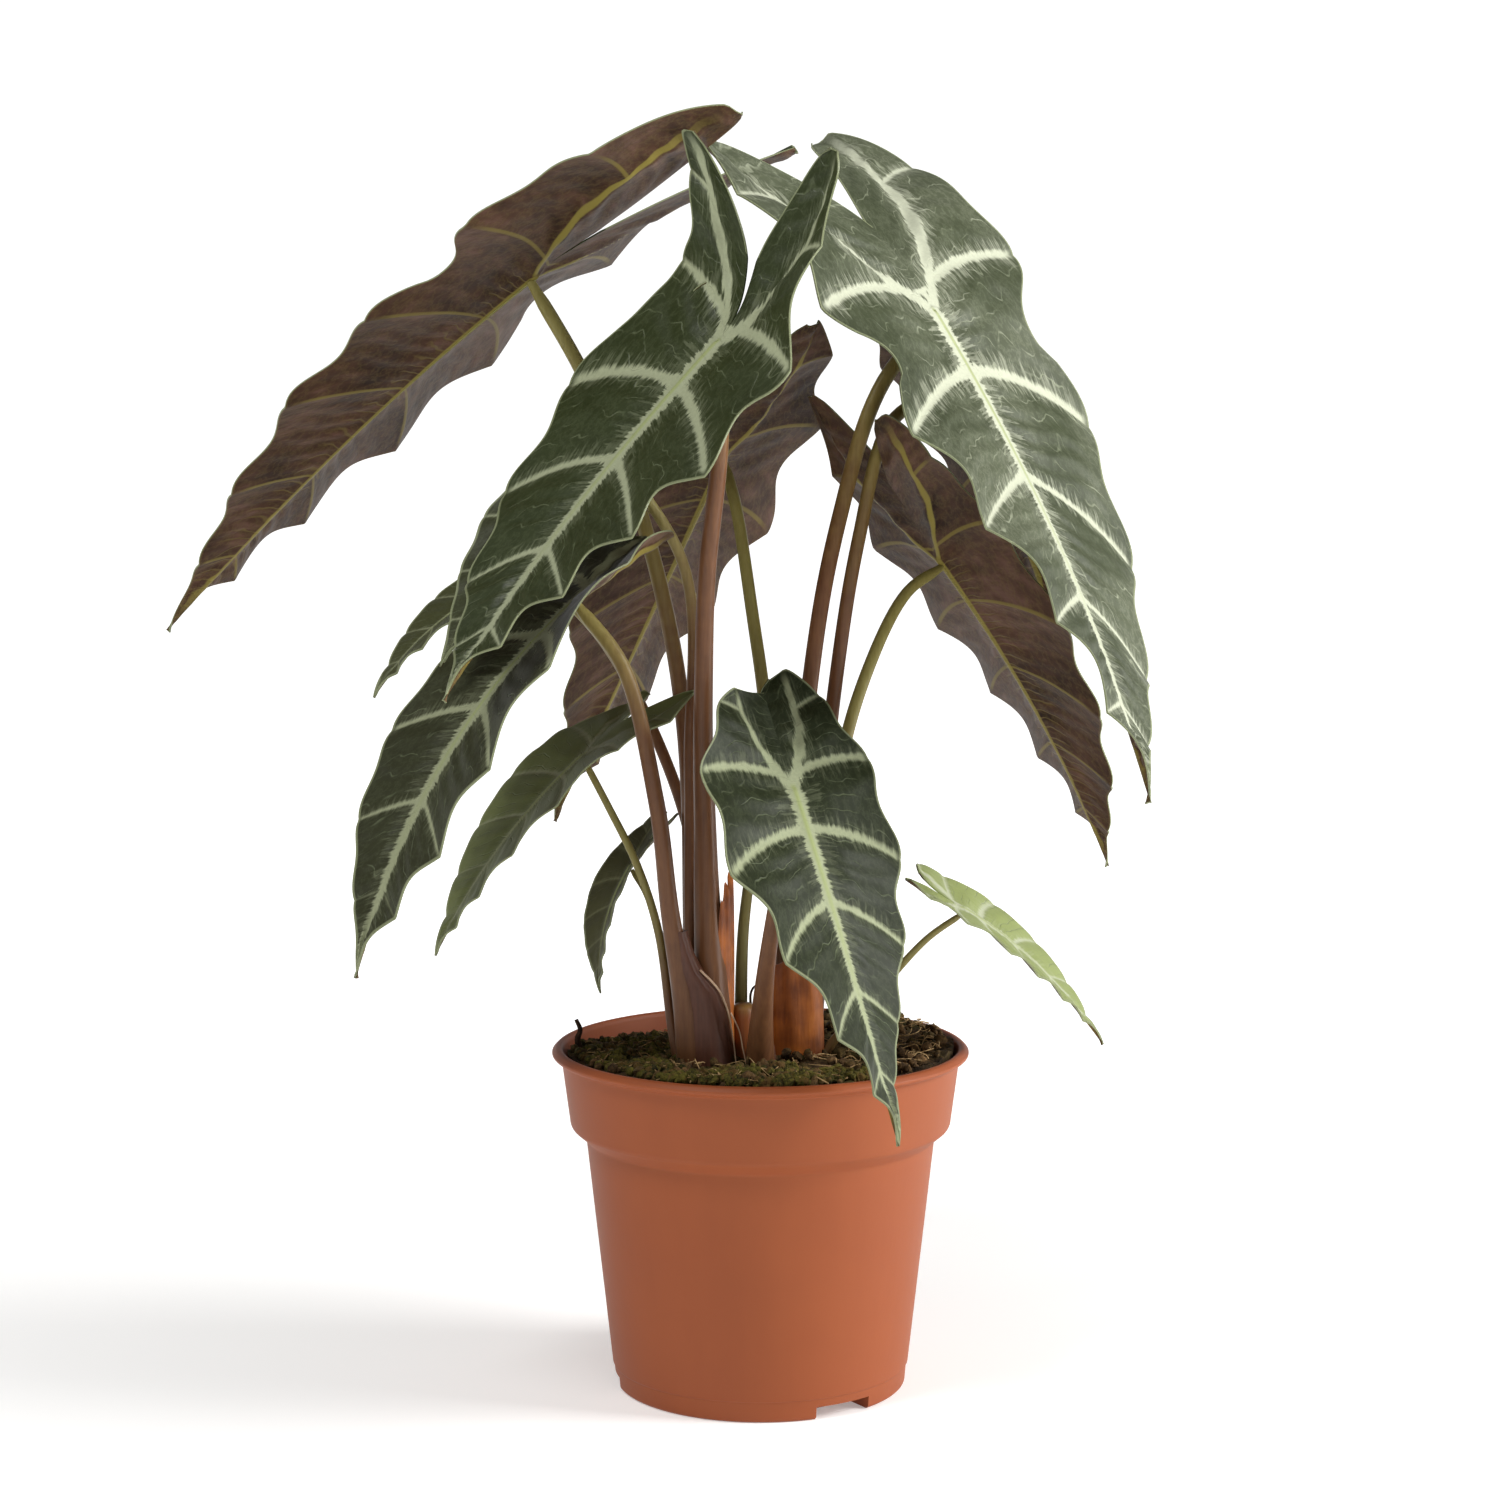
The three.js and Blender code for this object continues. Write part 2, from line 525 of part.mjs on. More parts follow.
// Each leaf is a blade with its own stalk, which ends just under the blade
const stalks = {};
const sockets = [];
for (const [name, leaf] of Object.entries(LEAVES)) {
  const points = [...leaf.stalk, leaf.junction];
  addPiece(`leaf_${name}`, blade(leaf, BLADE_THICKNESS), 'blade');
  const clearance = solidOf(blade(leaf, BLADE_THICKNESS + 2 * GAP));
  stalks[`stalk_${name}`] = solidOf(stalk(points, leaf.stalkRadii)).subtract(clearance);
  sockets.push(solidOf(stalk(points, leaf.stalkRadii, GAP)));
}
for (const [name, solid] of Object.entries(stalks)) addPiece(name, geometryOf(solid), 'stalk');

// The crowns have a socket for every stalk, and the soil has one for everything that goes into it
for (const [name, place] of Object.entries(CROWNS)) {
  let body = solidOf(crown(place));
  for (const socket of sockets) body = body.subtract(socket);
  addPiece(name, geometryOf(body), 'crown');
}
for (const [name, { points, radii }] of Object.entries(STUBS)) {
  addPiece(name, stalk(points, radii), 'stalk');
  sockets.push(solidOf(stalk(points, radii, GAP)));
}
for (const place of Object.values(CROWNS)) sockets.push(solidOf(crown(place, GAP)));
addPiece('pot', pot(), 'pot');
addPiece('soil', soil(sockets), 'soil');

for (const [name, shape] of Object.entries(SHEATHS)) addPiece(name, sheath(shape), 'sheath');
for (const [name, shape] of Object.entries(MOSS)) addPiece(name, moss(shape), 'moss');

export default plant;
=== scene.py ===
# %% [markdown]
# # A potted alocasia polly
# The plant has arrow-shaped leaves on upright stalks, and it stands in a plain terracotta-coloured
# nursery pot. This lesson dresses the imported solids: each leaf, each stalk and the soil are modelled
# again with the relief and the colours of the living plant, in the place that its solid holds.

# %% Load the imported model
import json
import math

import bpy
import numpy as np
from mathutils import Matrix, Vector, noise

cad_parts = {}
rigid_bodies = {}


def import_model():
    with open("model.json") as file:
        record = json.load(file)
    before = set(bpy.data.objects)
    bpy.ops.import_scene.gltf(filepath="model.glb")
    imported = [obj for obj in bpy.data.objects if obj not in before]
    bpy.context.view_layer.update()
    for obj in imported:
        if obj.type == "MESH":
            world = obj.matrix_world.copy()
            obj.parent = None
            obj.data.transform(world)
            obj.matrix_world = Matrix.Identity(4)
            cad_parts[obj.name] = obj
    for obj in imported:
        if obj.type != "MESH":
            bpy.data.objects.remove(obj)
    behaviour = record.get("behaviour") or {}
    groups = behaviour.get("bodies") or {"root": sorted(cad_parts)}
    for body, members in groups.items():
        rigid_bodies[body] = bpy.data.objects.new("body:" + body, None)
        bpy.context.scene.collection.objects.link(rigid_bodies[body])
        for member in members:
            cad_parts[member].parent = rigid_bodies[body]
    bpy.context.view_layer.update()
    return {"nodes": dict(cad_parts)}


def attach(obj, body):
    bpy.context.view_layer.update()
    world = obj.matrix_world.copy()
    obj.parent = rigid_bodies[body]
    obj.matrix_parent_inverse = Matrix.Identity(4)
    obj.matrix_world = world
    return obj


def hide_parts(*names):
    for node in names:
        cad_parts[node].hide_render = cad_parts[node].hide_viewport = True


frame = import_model()
MM = 0.001
dice = np.random.default_rng(7)
print("packed nodes:", len(frame["nodes"]))

# %% [markdown]
# ## Where the camera stands
# A portrait of a pot plant is taken from far enough away that its leaves keep their proportions.
# The place and the lens follow from the pot: its rim, collar and foot line up with the photo
# when the camera is 0.9 m in front of the pot and looks slightly down.

# %% Camera
CAMERA_PLACE = (-0.003, -0.900, 0.282)
CAMERA_PITCH = 6.2
bpy.ops.object.camera_add(location=CAMERA_PLACE, rotation=(math.radians(90 - CAMERA_PITCH), 0, 0))
camera = bpy.context.object
camera.data.sensor_width = 36
camera.data.lens = 76.1
camera.data.clip_start = 0.01
bpy.context.scene.camera = camera
print("lens:", round(camera.data.lens, 1), "mm")

# %% [markdown]
# ## Shader formulas
# A material is a chain of nodes, and a chain is easier to read as a formula. The class below wraps
# one node output, so that a plus or a times between two of them adds the Math node for it. Every
# other node comes from one method, which sets the node up first and then fills its sockets.

# %% A node output that can be used in a formula
def colour(value):
    """A colour given as 8-bit sRGB numbers, as the linear numbers that a shader takes"""
    if isinstance(value, Term):
        return value
    linear = [c / 255 / 12.92 if c <= 10 else ((c / 255 + 0.055) / 1.055) ** 2.4 for c in value]
    return (*linear, 1.0)


class Term:
    def __init__(self, recipe, socket):
        self.recipe = recipe
        self.socket = socket

    def math(self, operation, *others):
        sockets = dict(enumerate((self, *others)))
        return self.recipe.node("ShaderNodeMath", {"operation": operation}, sockets)

    def __add__(self, other):
        return self.math("ADD", other)

    def __sub__(self, other):
        return self.math("SUBTRACT", other)

    def __rsub__(self, other):
        return self.math("MULTIPLY_ADD", -1.0, other)

    def __mul__(self, other):
        return self.math("MULTIPLY", other)

    def __pow__(self, other):
        return self.math("POWER", other)

    def __abs__(self):
        return self.math("ABSOLUTE")

    __radd__ = __add__
    __rmul__ = __mul__


# %% A material that is written as formulas
class Recipe:
    def __init__(self, name):
        self.material = bpy.data.materials.new(name)
        self.material.use_nodes = True
        self.tree = self.material.node_tree
        self.tree.nodes.clear()

    def node(self, kind, settings=None, sockets=None, output=0):
        node = self.tree.nodes.new(kind)
        for name, value in (settings or {}).items():
            setattr(node, name, value)
        for name, value in (sockets or {}).items():
            if isinstance(value, Term):
                self.tree.links.new(value.socket, node.inputs[name])
            else:
                node.inputs[name].default_value = value
        return Term(self, node.outputs[output]) if node.outputs else None

    def split(self, vector):
        first = self.node("ShaderNodeSeparateXYZ", sockets={0: vector})
        return [Term(self, part) for part in first.socket.node.outputs]

    def attribute(self, name):
        return self.split(self.node("ShaderNodeAttribute", {"attribute_name": name}, output="Vector"))

    def place(self):
        return self.node("ShaderNodeTexCoord", output="Object")

    def vector(self, x, y, z=0.0):
        return self.node("ShaderNodeCombineXYZ", sockets={0: x, 1: y, 2: z})

    def noise(self, vector, scale, detail=3.0, roughness=0.5):
        sockets = {"Vector": vector, "Scale": scale, "Detail": detail, "Roughness": roughness}
        return self.node("ShaderNodeTexNoise", sockets=sockets)

    def noise_at(self, x, y, z=0.0, detail=3.0, roughness=0.5):
        return self.noise(self.vector(x, y, z), 1.0, detail, roughness)

    def streaks(self, squeeze, scale, detail):
        """Noise that is drawn out along Z, where a smaller squeeze makes longer streaks"""
        stretched = self.node("ShaderNodeMapping", sockets={0: self.place(), 3: (1, 1, squeeze)})
        return self.noise(stretched, scale, detail, 0.6)

    def rise(self, value, low, high):
        sockets = {"Value": value, "From Min": low, "From Max": high}
        return self.node("ShaderNodeMapRange", {"interpolation_type": "SMOOTHSTEP"}, sockets)

    def fall(self, value, low, high):
        return 1 - self.rise(value, low, high)

    def most(self, first, *others):
        for other in others:
            first = first.math("MAXIMUM", other)
        return first

    def mix(self, first, second, share):
        settings = {"data_type": "RGBA", "clamp_factor": True}
        sockets = {0: share, 6: colour(first), 7: colour(second)}
        return self.node("ShaderNodeMix", settings, sockets, output=2)

    def finish(self, base, rough, shine, relief=None, depth=0.0, light=None):
        """The finished material. The depth of its relief is in mm, and the light is what it gives off."""
        sockets = {"Base Color": colour(base), "Roughness": rough, "Specular IOR Level": shine}
        if light is not None:
            sockets.update({"Emission Color": light, "Emission Strength": 1.0})
        if relief is not None:
            bump = {"Height": relief, "Distance": depth * MM}
            sockets["Normal"] = self.node("ShaderNodeBump", sockets=bump)
        surface = self.node("ShaderNodeBsdfPrincipled", sockets=sockets)
        self.node("ShaderNodeOutputMaterial", sockets={"Surface": surface})
        return self.material


print("formulas can be written on node outputs")

# %% [markdown]
# ## The studio
# The plant stands on white, lit softly from the right, with a weak shadow at its left. The sky is
# a white backdrop only where the camera sees it. The rest of the room is dim, because the glossy
# leaves show it, and three soft lamps model them better.

# %% Backdrop and lamps
BACKDROP = 1.1
ROOM = 0.27
BACKDROP_SIDES = (0.25, 0.6)
BACKDROP_TOP = (0.35, 0.14)


def sky_node(kind, **values):
    node = scene.world.node_tree.nodes.new(kind)
    for name, value in values.items():
        node.inputs[name.replace("_", " ")].default_value = value
    return node


def sky_ramp(low, high, bottom, top):
    ramp = sky_node("ShaderNodeMapRange", From_Min=low, From_Max=high, To_Min=bottom, To_Max=top)
    ramp.interpolation_type = "SMOOTHSTEP"
    return ramp


scene = bpy.context.scene
scene.view_settings.view_transform = "Standard"
scene.world = bpy.data.worlds.new("studio")
scene.world.use_nodes = True
link = scene.world.node_tree.links.new
direction = sky_node("ShaderNodeTexCoord").outputs["Generated"]
parts = sky_node("ShaderNodeSeparateXYZ")
link(direction, parts.inputs[0])
ahead = sky_ramp(*BACKDROP_SIDES, 0, 1)
low = sky_ramp(*BACKDROP_TOP[::-1], 1, 0)
link(parts.outputs["Y"], ahead.inputs["Value"])
link(parts.outputs["Z"], low.inputs["Value"])
both = sky_node("ShaderNodeMath")
both.operation = "MULTIPLY"
link(ahead.outputs[0], both.inputs[0])
link(low.outputs[0], both.inputs[1])
strength = sky_ramp(0, 1, ROOM, BACKDROP)
link(both.outputs[0], strength.inputs["Value"])
background = scene.world.node_tree.nodes["Background"]
background.inputs["Color"].default_value = (1, 1, 1, 1)
link(strength.outputs[0], background.inputs["Strength"])

LAMPS = {
    "key": {"place": (1.2, -0.2, 0.8), "size": 0.6, "watts": 19.0},
    "window": {"place": (-0.6, -0.6, 1.35), "size": 0.4, "watts": 10.0},
    "low": {"place": (0.9, -0.2, 0.14), "size": 0.25, "watts": 2.4},
}
LAMP_TARGET = Vector((0, 0, 0.2))
for name, lamp in LAMPS.items():
    place = Vector(lamp["place"])
    turn = (LAMP_TARGET - place).to_track_quat("-Z", "Y").to_euler()
    bpy.ops.object.light_add(type="AREA", radius=1, location=place, rotation=turn)
    light = bpy.context.object
    light.name = name
    light.data.size = lamp["size"]
    light.data.energy = lamp["watts"]
print("lamps:", ", ".join(LAMPS))

# %% [markdown]
# The floor is white, and it gives off a little light of its own, so that it comes out pure white
# and still takes a shadow. Far away the lamps are weak, so there it gives off more.

# %% Floor
FLOOR_GLOW = (0.28, 0.95)
GLOW_REACH = (0.08, 1.0)


def floor_finish():
    r = Recipe("white floor")
    distance = r.node("ShaderNodeVectorMath", {"operation": "LENGTH"}, {0: r.place()}, output="Value")
    near, far = FLOOR_GLOW
    glow = near + (far - near) * r.rise(distance, *GLOW_REACH)
    return r.finish((240, 239, 237), 0.9, 0.0, light=r.vector(glow, glow, glow))


bpy.ops.mesh.primitive_plane_add(size=40)
floor = bpy.context.object
floor.name = "floor"
floor.data.materials.append(floor_finish())
print("floor glow:", FLOOR_GLOW)

# %% [markdown]
# ## Hands for the mesh work
# The helpers below do what a modeller does by hand: clear the selection, pick edges or faces, and
# put a finished piece in its place, with its name, its material and its body, while the solid that
# it stands for is hidden.

# %% Selecting and keeping
def clear_selection():
    bpy.ops.object.select_all(action="DESELECT")


def select_only(piece):
    clear_selection()
    piece.select_set(True)
    bpy.context.view_layer.objects.active = piece


def pick(piece, kind, chosen):
    """Enter edit mode with the chosen faces or edges selected"""
    mesh = piece.data
    for elements in (mesh.vertices, mesh.edges, mesh.polygons):
        elements.foreach_set("select", np.zeros(len(elements), bool))
    elements = mesh.polygons if kind == "FACE" else mesh.edges
    elements.foreach_set("select", np.asarray(chosen, bool))
    bpy.context.tool_settings.mesh_select_mode = (False, kind == "EDGE", kind == "FACE")
    bpy.ops.object.mode_set(mode="EDIT")


def leave_edit():
    bpy.ops.object.mode_set(mode="OBJECT")


def places_of(piece):
    flat = np.empty(len(piece.data.vertices) * 3)
    piece.data.vertices.foreach_get("co", flat)
    return flat.reshape(-1, 3)


def move_to(piece, places):
    piece.data.vertices.foreach_set("co", np.ascontiguousarray(places, float).ravel())
    piece.data.update()


def mark(piece, name, values):
    """Give each vertex three numbers that a material can read"""
    layer = piece.data.attributes.new(name, "FLOAT_VECTOR", "POINT")
    layer.data.foreach_set("vector", np.ascontiguousarray(np.stack(values, 1), float).ravel())


def apply_modifier(piece, kind, **settings):
    modifier = piece.modifiers.new(kind.lower(), kind)
    for name, value in settings.items():
        setattr(modifier, name, value)
    select_only(piece)
    bpy.ops.object.modifier_apply(modifier=modifier.name)


def smooth(piece, angle):
    select_only(piece)
    bpy.ops.object.shade_smooth_by_angle(angle=math.radians(angle))


def keep(piece, name, node, material=None, angle=60):
    """Smooth a finished piece over edges up to an angle, name it, give it its material, put it on the root
    body and hide its solid
    """
    smooth(piece, angle)
    piece.name = name
    piece.data.name = name
    if material:
        piece.data.materials.append(material)
    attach(piece, "root")
    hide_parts(node)


def rise(value, low, high):
    share = np.clip((value - low) / (high - low), 0, 1)
    return share * share * (3 - 2 * share)


def unit(vectors):
    return vectors / np.linalg.norm(vectors, axis=-1, keepdims=True)


print("helpers ready")

# %% [markdown]
# ## Smooth lines
# Leaf margins and stalks are free curves, and a few points say where each one passes. A spline
# through the points is the usual choice, because its shape can be tuned point by point.

# %% Spline through points
def smooth_line(points, steps, evenness):
    """Points along a spline. An evenness of 0 suits outlines, and 0.5 suits uneven spacing."""
    points = np.array(points, float)
    ends = 2 * points[[0, -1]] - points[[1, -2]]
    points = np.vstack([ends[:1], points, ends[1:]])
    share = np.linspace(0, 1, steps, endpoint=False)[:, None]
    spans = []
    for a, b, c, d in zip(points, points[1:], points[2:], points[3:]):
        steps_between = ((a, b), (b, c), (c, d))
        before, here, after = (max(np.linalg.norm(q - p), 1e-6) ** evenness for p, q in steps_between)
        leave = here * ((b - a) / before - (c - a) / (before + here) + (c - b) / here)
        arrive = here * ((c - b) / here - (d - b) / (here + after) + (d - c) / after)
        cubic = 2 * b - 2 * c + leave + arrive
        square = 3 * c - 3 * b - 2 * leave - arrive
        spans.append(b + leave * share + square * share**2 + cubic * share**3)
    return np.vstack([*spans, points[-2:-1]])


def even_line(points, steps, count):
    """The same spline, as points at equal distances"""
    line = smooth_line(points, steps, 0.5)
    travelled = np.concatenate([[0], np.cumsum(np.linalg.norm(np.diff(line, axis=0), axis=1))])
    wanted = np.linspace(0, travelled[-1], count)
    return np.stack([np.interp(wanted, travelled, axis) for axis in line.T], 1)


print("spline ready")

# %% [markdown]
# ## Where each leaf grows
# Every leaf is a blade on its own stalk. The junction is where the stalk meets the blade, and the
# blade runs from it to the tip, with two lobes behind it. A pair holds a value for the right half
# and one for the left, as seen from the tip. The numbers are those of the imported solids, in
# millimetres and degrees, so that a blade lies where its solid lies. A value that several leaves
# share is said once, in the plain leaf.

# %% Leaf values
PLAIN_LEAF = {
    "bow": 0, "twist": 0, "lobe_widths": (1, 1), "spread": 20, "sway": 0,
    "folds": (10, 10), "lobe_bends": (5, 5),
}
LEAVES = {
    "upper_left": {
        "junction": (-66, 19, 319), "tip": (-176, 38, 216), "arch": 5, "bow": -4, "roll": 8, "twist": 5,
        "widths": (38, 39), "lobes": (91, 80), "lobe_widths": (1.45, 1.25),
        "spread": 29, "sway": -0.39, "notch": 23,
        "folds": (11, 4), "lobe_fold": 9, "lobe_bends": (10, 17), "scallop": 1.1, "radii": (2.6, 2),
        "stalk": ((-17, -8.5, 90), (-19, -7, 108), (-22, 5, 193), (-33, 8, 247), (-50, 16, 289)),
    },
    "high_front": {
        "junction": (-12, -36, 299), "tip": (-84, -69, 205), "arch": -4, "bow": -10, "roll": -19, "twist": 9,
        "widths": (38, 37), "lobes": (64, 53), "lobe_widths": (0.88, 0.62), "sway": -0.53, "notch": 23,
        "folds": (5, 3), "lobe_fold": 19, "lobe_bends": (-16, -47), "scallop": 1, "radii": (3.1, 2.2),
        "stalk": ((-12.5, -16.5, 90), (-13.5, -17, 108), (-16, -17, 187), (-15, -22, 234), (-11, -30, 275)),
    },
    "tucked_left": {
        "junction": (-37, -14, 266), "tip": (-88, -35, 211), "arch": 6, "roll": -28,
        "widths": (22, 22), "lobes": (22, 22), "notch": 13,
        "lobe_fold": 10, "scallop": 0.5, "radii": (2, 1.5),
        "stalk": ((-20.5, -13, 90), (-20, -13, 108), (-20, -7, 180), (-21, -7, 235)),
    },
    "tucked_back_left": {
        "junction": (-63, 15, 235), "tip": (-111, 4, 199), "arch": 6, "roll": -10,
        "widths": (17, 17), "lobes": (18, 18), "notch": 12,
        "lobe_fold": 10, "scallop": 0.5, "radii": (2, 1.5),
        "stalk": ((-11.5, -9, 90), (-13.5, -2.5, 108), (-22, 9, 165), (-44, 17, 212)),
    },
    "lower_left": {
        "junction": (-51, -24, 229), "tip": (-110, -54, 128), "arch": 10, "bow": 3, "roll": 6, "twist": -38,
        "widths": (31, 29), "lobes": (32, 34), "notch": 20,
        "folds": (11, 10), "lobe_fold": 12, "lobe_bends": (15, 15), "scallop": 0.55, "radii": (2.8, 1.9),
        "stalk": ((-18, -18.5, 90), (-20, -20, 108), (-25, -25, 140), (-29, -28, 173), (-38, -28, 210)),
    },
    "back_centre": {
        "junction": (-11, 33, 268), "tip": (-64, 76, 154), "arch": 4, "bow": -4, "roll": 10, "twist": -21,
        "widths": (34, 34), "lobes": (68, 55), "lobe_widths": (1.05, 1.1),
        "spread": 19, "sway": 0.25, "notch": 26,
        "folds": (3, 4), "lobe_fold": 2, "lobe_bends": (13, 14), "scallop": 1, "radii": (2.2, 1.7),
        "stalk": ((8, 2.5, 90), (7, 3, 108), (2, 9, 190), (-2, 14, 220), (-7, 22, 252)),
    },
    "back_right": {
        "junction": (53, 24, 237), "tip": (107, 62, 142), "arch": 1, "bow": -5, "roll": -2, "twist": 15,
        "widths": (31, 31), "lobes": (65, 56), "spread": 19, "sway": -0.25, "notch": 30,
        "folds": (8, 8), "lobe_fold": 2, "lobe_bends": (-3, 17), "scallop": 0.9, "radii": (2.2, 1.6),
        "stalk": ((14.5, -3, 90), (16, -2, 108), (22, 1, 175), (30, 5, 205), (42, 15, 228)),
    },
    "upper_right": {
        "junction": (50, 19, 309), "tip": (105, -54, 176), "arch": -2, "bow": 14, "roll": -13, "twist": -23,
        "widths": (44, 46), "lobes": (86, 83), "lobe_widths": (1.35, 1.12), "spread": 29, "notch": 29,
        "folds": (7, -2), "lobe_fold": 3, "lobe_bends": (48, 28), "scallop": 1, "radii": (2.6, 2.1),
        "stalk": ((8.5, -5.5, 90), (9, -5.5, 108), (14, -2, 203), (23, 3, 253), (34, 9, 287)),
    },
    "hidden_right": {
        "junction": (54, 43, 289), "tip": (94, 81, 206), "arch": 6, "roll": -10,
        "widths": (22, 22), "lobes": (28, 28), "notch": 20,
        "lobe_fold": 8, "scallop": 0.6, "radii": (2.3, 1.8),
        "stalk": ((12.5, 2, 90), (14, 3, 108), (21, 7, 198), (28, 7, 244), (36, 12, 275)),
    },
    "front_low": {
        "junction": (9, -40, 178), "tip": (37, -72, 86), "arch": 5, "bow": -2, "roll": 13, "twist": -46,
        "widths": (26, 30), "lobes": (41, 33), "lobe_widths": (1, 1.1), "spread": 15, "notch": 30,
        "folds": (5, 4), "lobe_fold": 6, "lobe_bends": (16, -4), "scallop": 0.8, "radii": (2.6, 1.7),
        "stalk": ((0, -18, 88), (0, -21, 100), (1, -29, 121), (4, -37, 145)),
    },
    "small_left": {
        "junction": (-50, -9, 184), "tip": (-92, -18, 128), "arch": 4, "bow": 1, "roll": -10, "twist": 2,
        "widths": (21, 21), "lobes": (37, 30), "spread": 22, "notch": 14,
        "folds": (10, 11), "lobe_fold": -6, "lobe_bends": (9, 10), "scallop": 0.4, "radii": (1.4, 1),
        "stalk": ((-22, -16.5, 92), (-25, -14, 106), (-29, -12, 134), (-35, -12, 153), (-43, -10, 169)),
    },
    "young_left": {
        "junction": (-37, 2, 151), "tip": (-46, -7, 115), "arch": 3, "bow": -1, "roll": 20,
        "widths": (12, 12), "lobes": (20, 20), "spread": 16, "notch": 8,
        "folds": (22, 22), "lobe_fold": 15, "lobe_bends": (15, 15), "scallop": 0.4, "radii": (1.2, 0.9),
        "stalk": ((-21.5, -9, 92), (-24.5, -6, 106), (-28, -2, 128), (-33, 1, 143)),
    },
    "young_right": {
        "junction": (57, -15, 141), "tip": (98, -10, 101), "arch": 2, "bow": 5, "roll": 14, "twist": 2,
        "widths": (15, 15), "lobes": (18, 25), "spread": 18, "sway": 0.06, "notch": 13,
        "folds": (8, 8), "lobe_fold": 9, "lobe_bends": (-13, -3), "scallop": 0.5, "radii": (1.3, 0.9),
        "stalk": ((15, -7, 91), (20, -7.5, 100), (34, -11, 117), (47, -14, 132)),
    },
}
LEAVES = {name: {**PLAIN_LEAF, **leaf} for name, leaf in LEAVES.items()}
print("leaves:", len(LEAVES))

# %% [markdown]
# ## The veins of a blade
# The side veins of this plant leave the midrib in pairs and end in a bulge of the margin. Near the
# junction they point slightly back, and towards the tip they lean forward more and more. One
# number tells them apart: it is whole on each side vein and runs evenly in between, so that relief,
# margin and colour can all follow the same veins.

# %% Side veins
VEIN_STARTS = (-1.0, -0.65, -0.42, -0.2, -0.04, 0.12, 0.33, 0.58, 0.8)
VEIN_LEANS = (-1.0, -0.95, -0.9, -0.7, -0.4, 0.1, 0.35, 0.5, 0.6)
VEIN_SWEEP = 0.3
FIRST_VEIN = -4


def lean_at(start):
    return np.interp(start, VEIN_STARTS, VEIN_LEANS)


def vein_number(start):
    stops = (*VEIN_STARTS, 1.0, 1.2)
    return np.interp(start, stops, np.arange(len(stops)) + FIRST_VEIN)


def vein_start(u, v, length, half):
    """Where on the midrib, as a share of its length, the side-vein line through a point begins"""
    low = np.full(np.shape(u), -2.0)
    high = np.full(np.shape(u), 2.0)
    for _ in range(30):
        middle = (low + high) / 2
        ahead = middle + (lean_at(middle) * v + VEIN_SWEEP * v * v / half) / length > u / length
        high = np.where(ahead, middle, high)
        low = np.where(ahead, low, middle)
    return (low + high) / 2


print("side veins:", len(VEIN_STARTS))

# %% [markdown]
# ## The margin of a blade
# Half a blade is an outline from the tip round its side and its rear lobe to the notch at the
# stalk. The margin swells at the end of each side vein and is pinched between two of them.

# %% Half outline
SIDE_SHAPE = ((1, 0), (0.94, 0.06), (0.86, 0.22), (0.72, 0.5), (0.54, 0.77), (0.34, 0.94), (0.14, 1))
LOBE_SHAPE = ((0.1, 0.95), (0.36, 0.74), (0.66, 0.5), (0.88, 0.27), (1, 0.03), (0.93, -0.13))
LOBE_SLIMNESS = (0, 0.5, 1, 1, 0, 1)
SCALLOP = 0.055


def lobe_direction(leaf):
    angle = math.radians(leaf["spread"])
    return np.array([-math.cos(angle), math.sin(angle)])


def half_outline(leaf, length, half):
    width = leaf["widths"][half]
    lobe = leaf["lobes"][half]
    slim = leaf["lobe_widths"][half]
    along = lobe_direction(leaf)
    outward = np.array([along[1], -along[0]])
    points = [np.array([u * length, v * width]) for u, v in SIDE_SHAPE]
    for (back, out), share in zip(LOBE_SHAPE, LOBE_SLIMNESS):
        points.append(along * back * lobe + outward * out * width * (1 + (slim - 1) * share))
    notch = np.array([-leaf["notch"], 0.0])
    for share in (0.4, 0.75):
        inner = points[len(SIDE_SHAPE) + len(LOBE_SHAPE) - 1] * (1 - share) + notch * share
        inner[1] = max(inner[1] - 0.04 * width * math.sin(math.pi * share), 0.3)
        points.append(inner)
    line = smooth_line([*points, notch], 40, 0)
    line[:, 1] = np.maximum(line[:, 1], 0)
    tangent = unit(np.gradient(line, axis=0) + 1e-9)
    away = np.stack([-tangent[:, 1], tangent[:, 0]], 1)
    away *= np.where((away * line).sum(1) < 0, -1, 1)[:, None]
    number = vein_number(vein_start(line[:, 0], line[:, 1], length, width))
    wave = 0.5 * np.cos(2 * math.pi * number)
    reach = np.minimum(line[:, 1] / width, 1) ** 0.6 * rise(line[:, 0] / length, -0.45, 0)
    return line + away * (SCALLOP * leaf["scallop"] * length * wave * reach)[:, None]


def blade_rows(leaf, length, half, rows, columns):
    """Flat places of half a blade: rows follow the side veins, columns run from midrib to margin"""
    width = leaf["widths"][half]
    line = half_outline(leaf, length, half)
    start = vein_start(line[:, 0], line[:, 1], length, width)
    start[0], start[-1] = 1, -leaf["notch"] / length
    back = int(np.argmin(start))
    outer = np.minimum.accumulate(start[:back + 1])[::-1]
    inner = np.maximum.accumulate(start[back:])
    front = int(rows * (1 - start[-1]) / (1 - start[back]))
    begin = np.concatenate([
        np.linspace(1, start[-1], front, endpoint=False),
        np.linspace(start[-1], start[back], rows + 1 - front),
    ])[:, None]
    out_v = np.interp(begin, outer, line[:back + 1, 1][::-1])
    in_v = np.where(begin < start[-1], np.interp(begin, inner, line[back:, 1]), 0)
    share = np.linspace(0, 1, columns + 1)[None, :] ** 1.1
    v = in_v + (out_v - in_v) * share
    u = length * begin + lean_at(begin) * v + VEIN_SWEEP * v * v / width
    full = np.ones_like(v)
    edge = np.where(in_v > 0, np.minimum(v - in_v, out_v - v), out_v - v)
    return u, v, begin * full, share * full, edge


print("outline points:", len(half_outline(LEAVES["front_low"], 120.0, 0)))

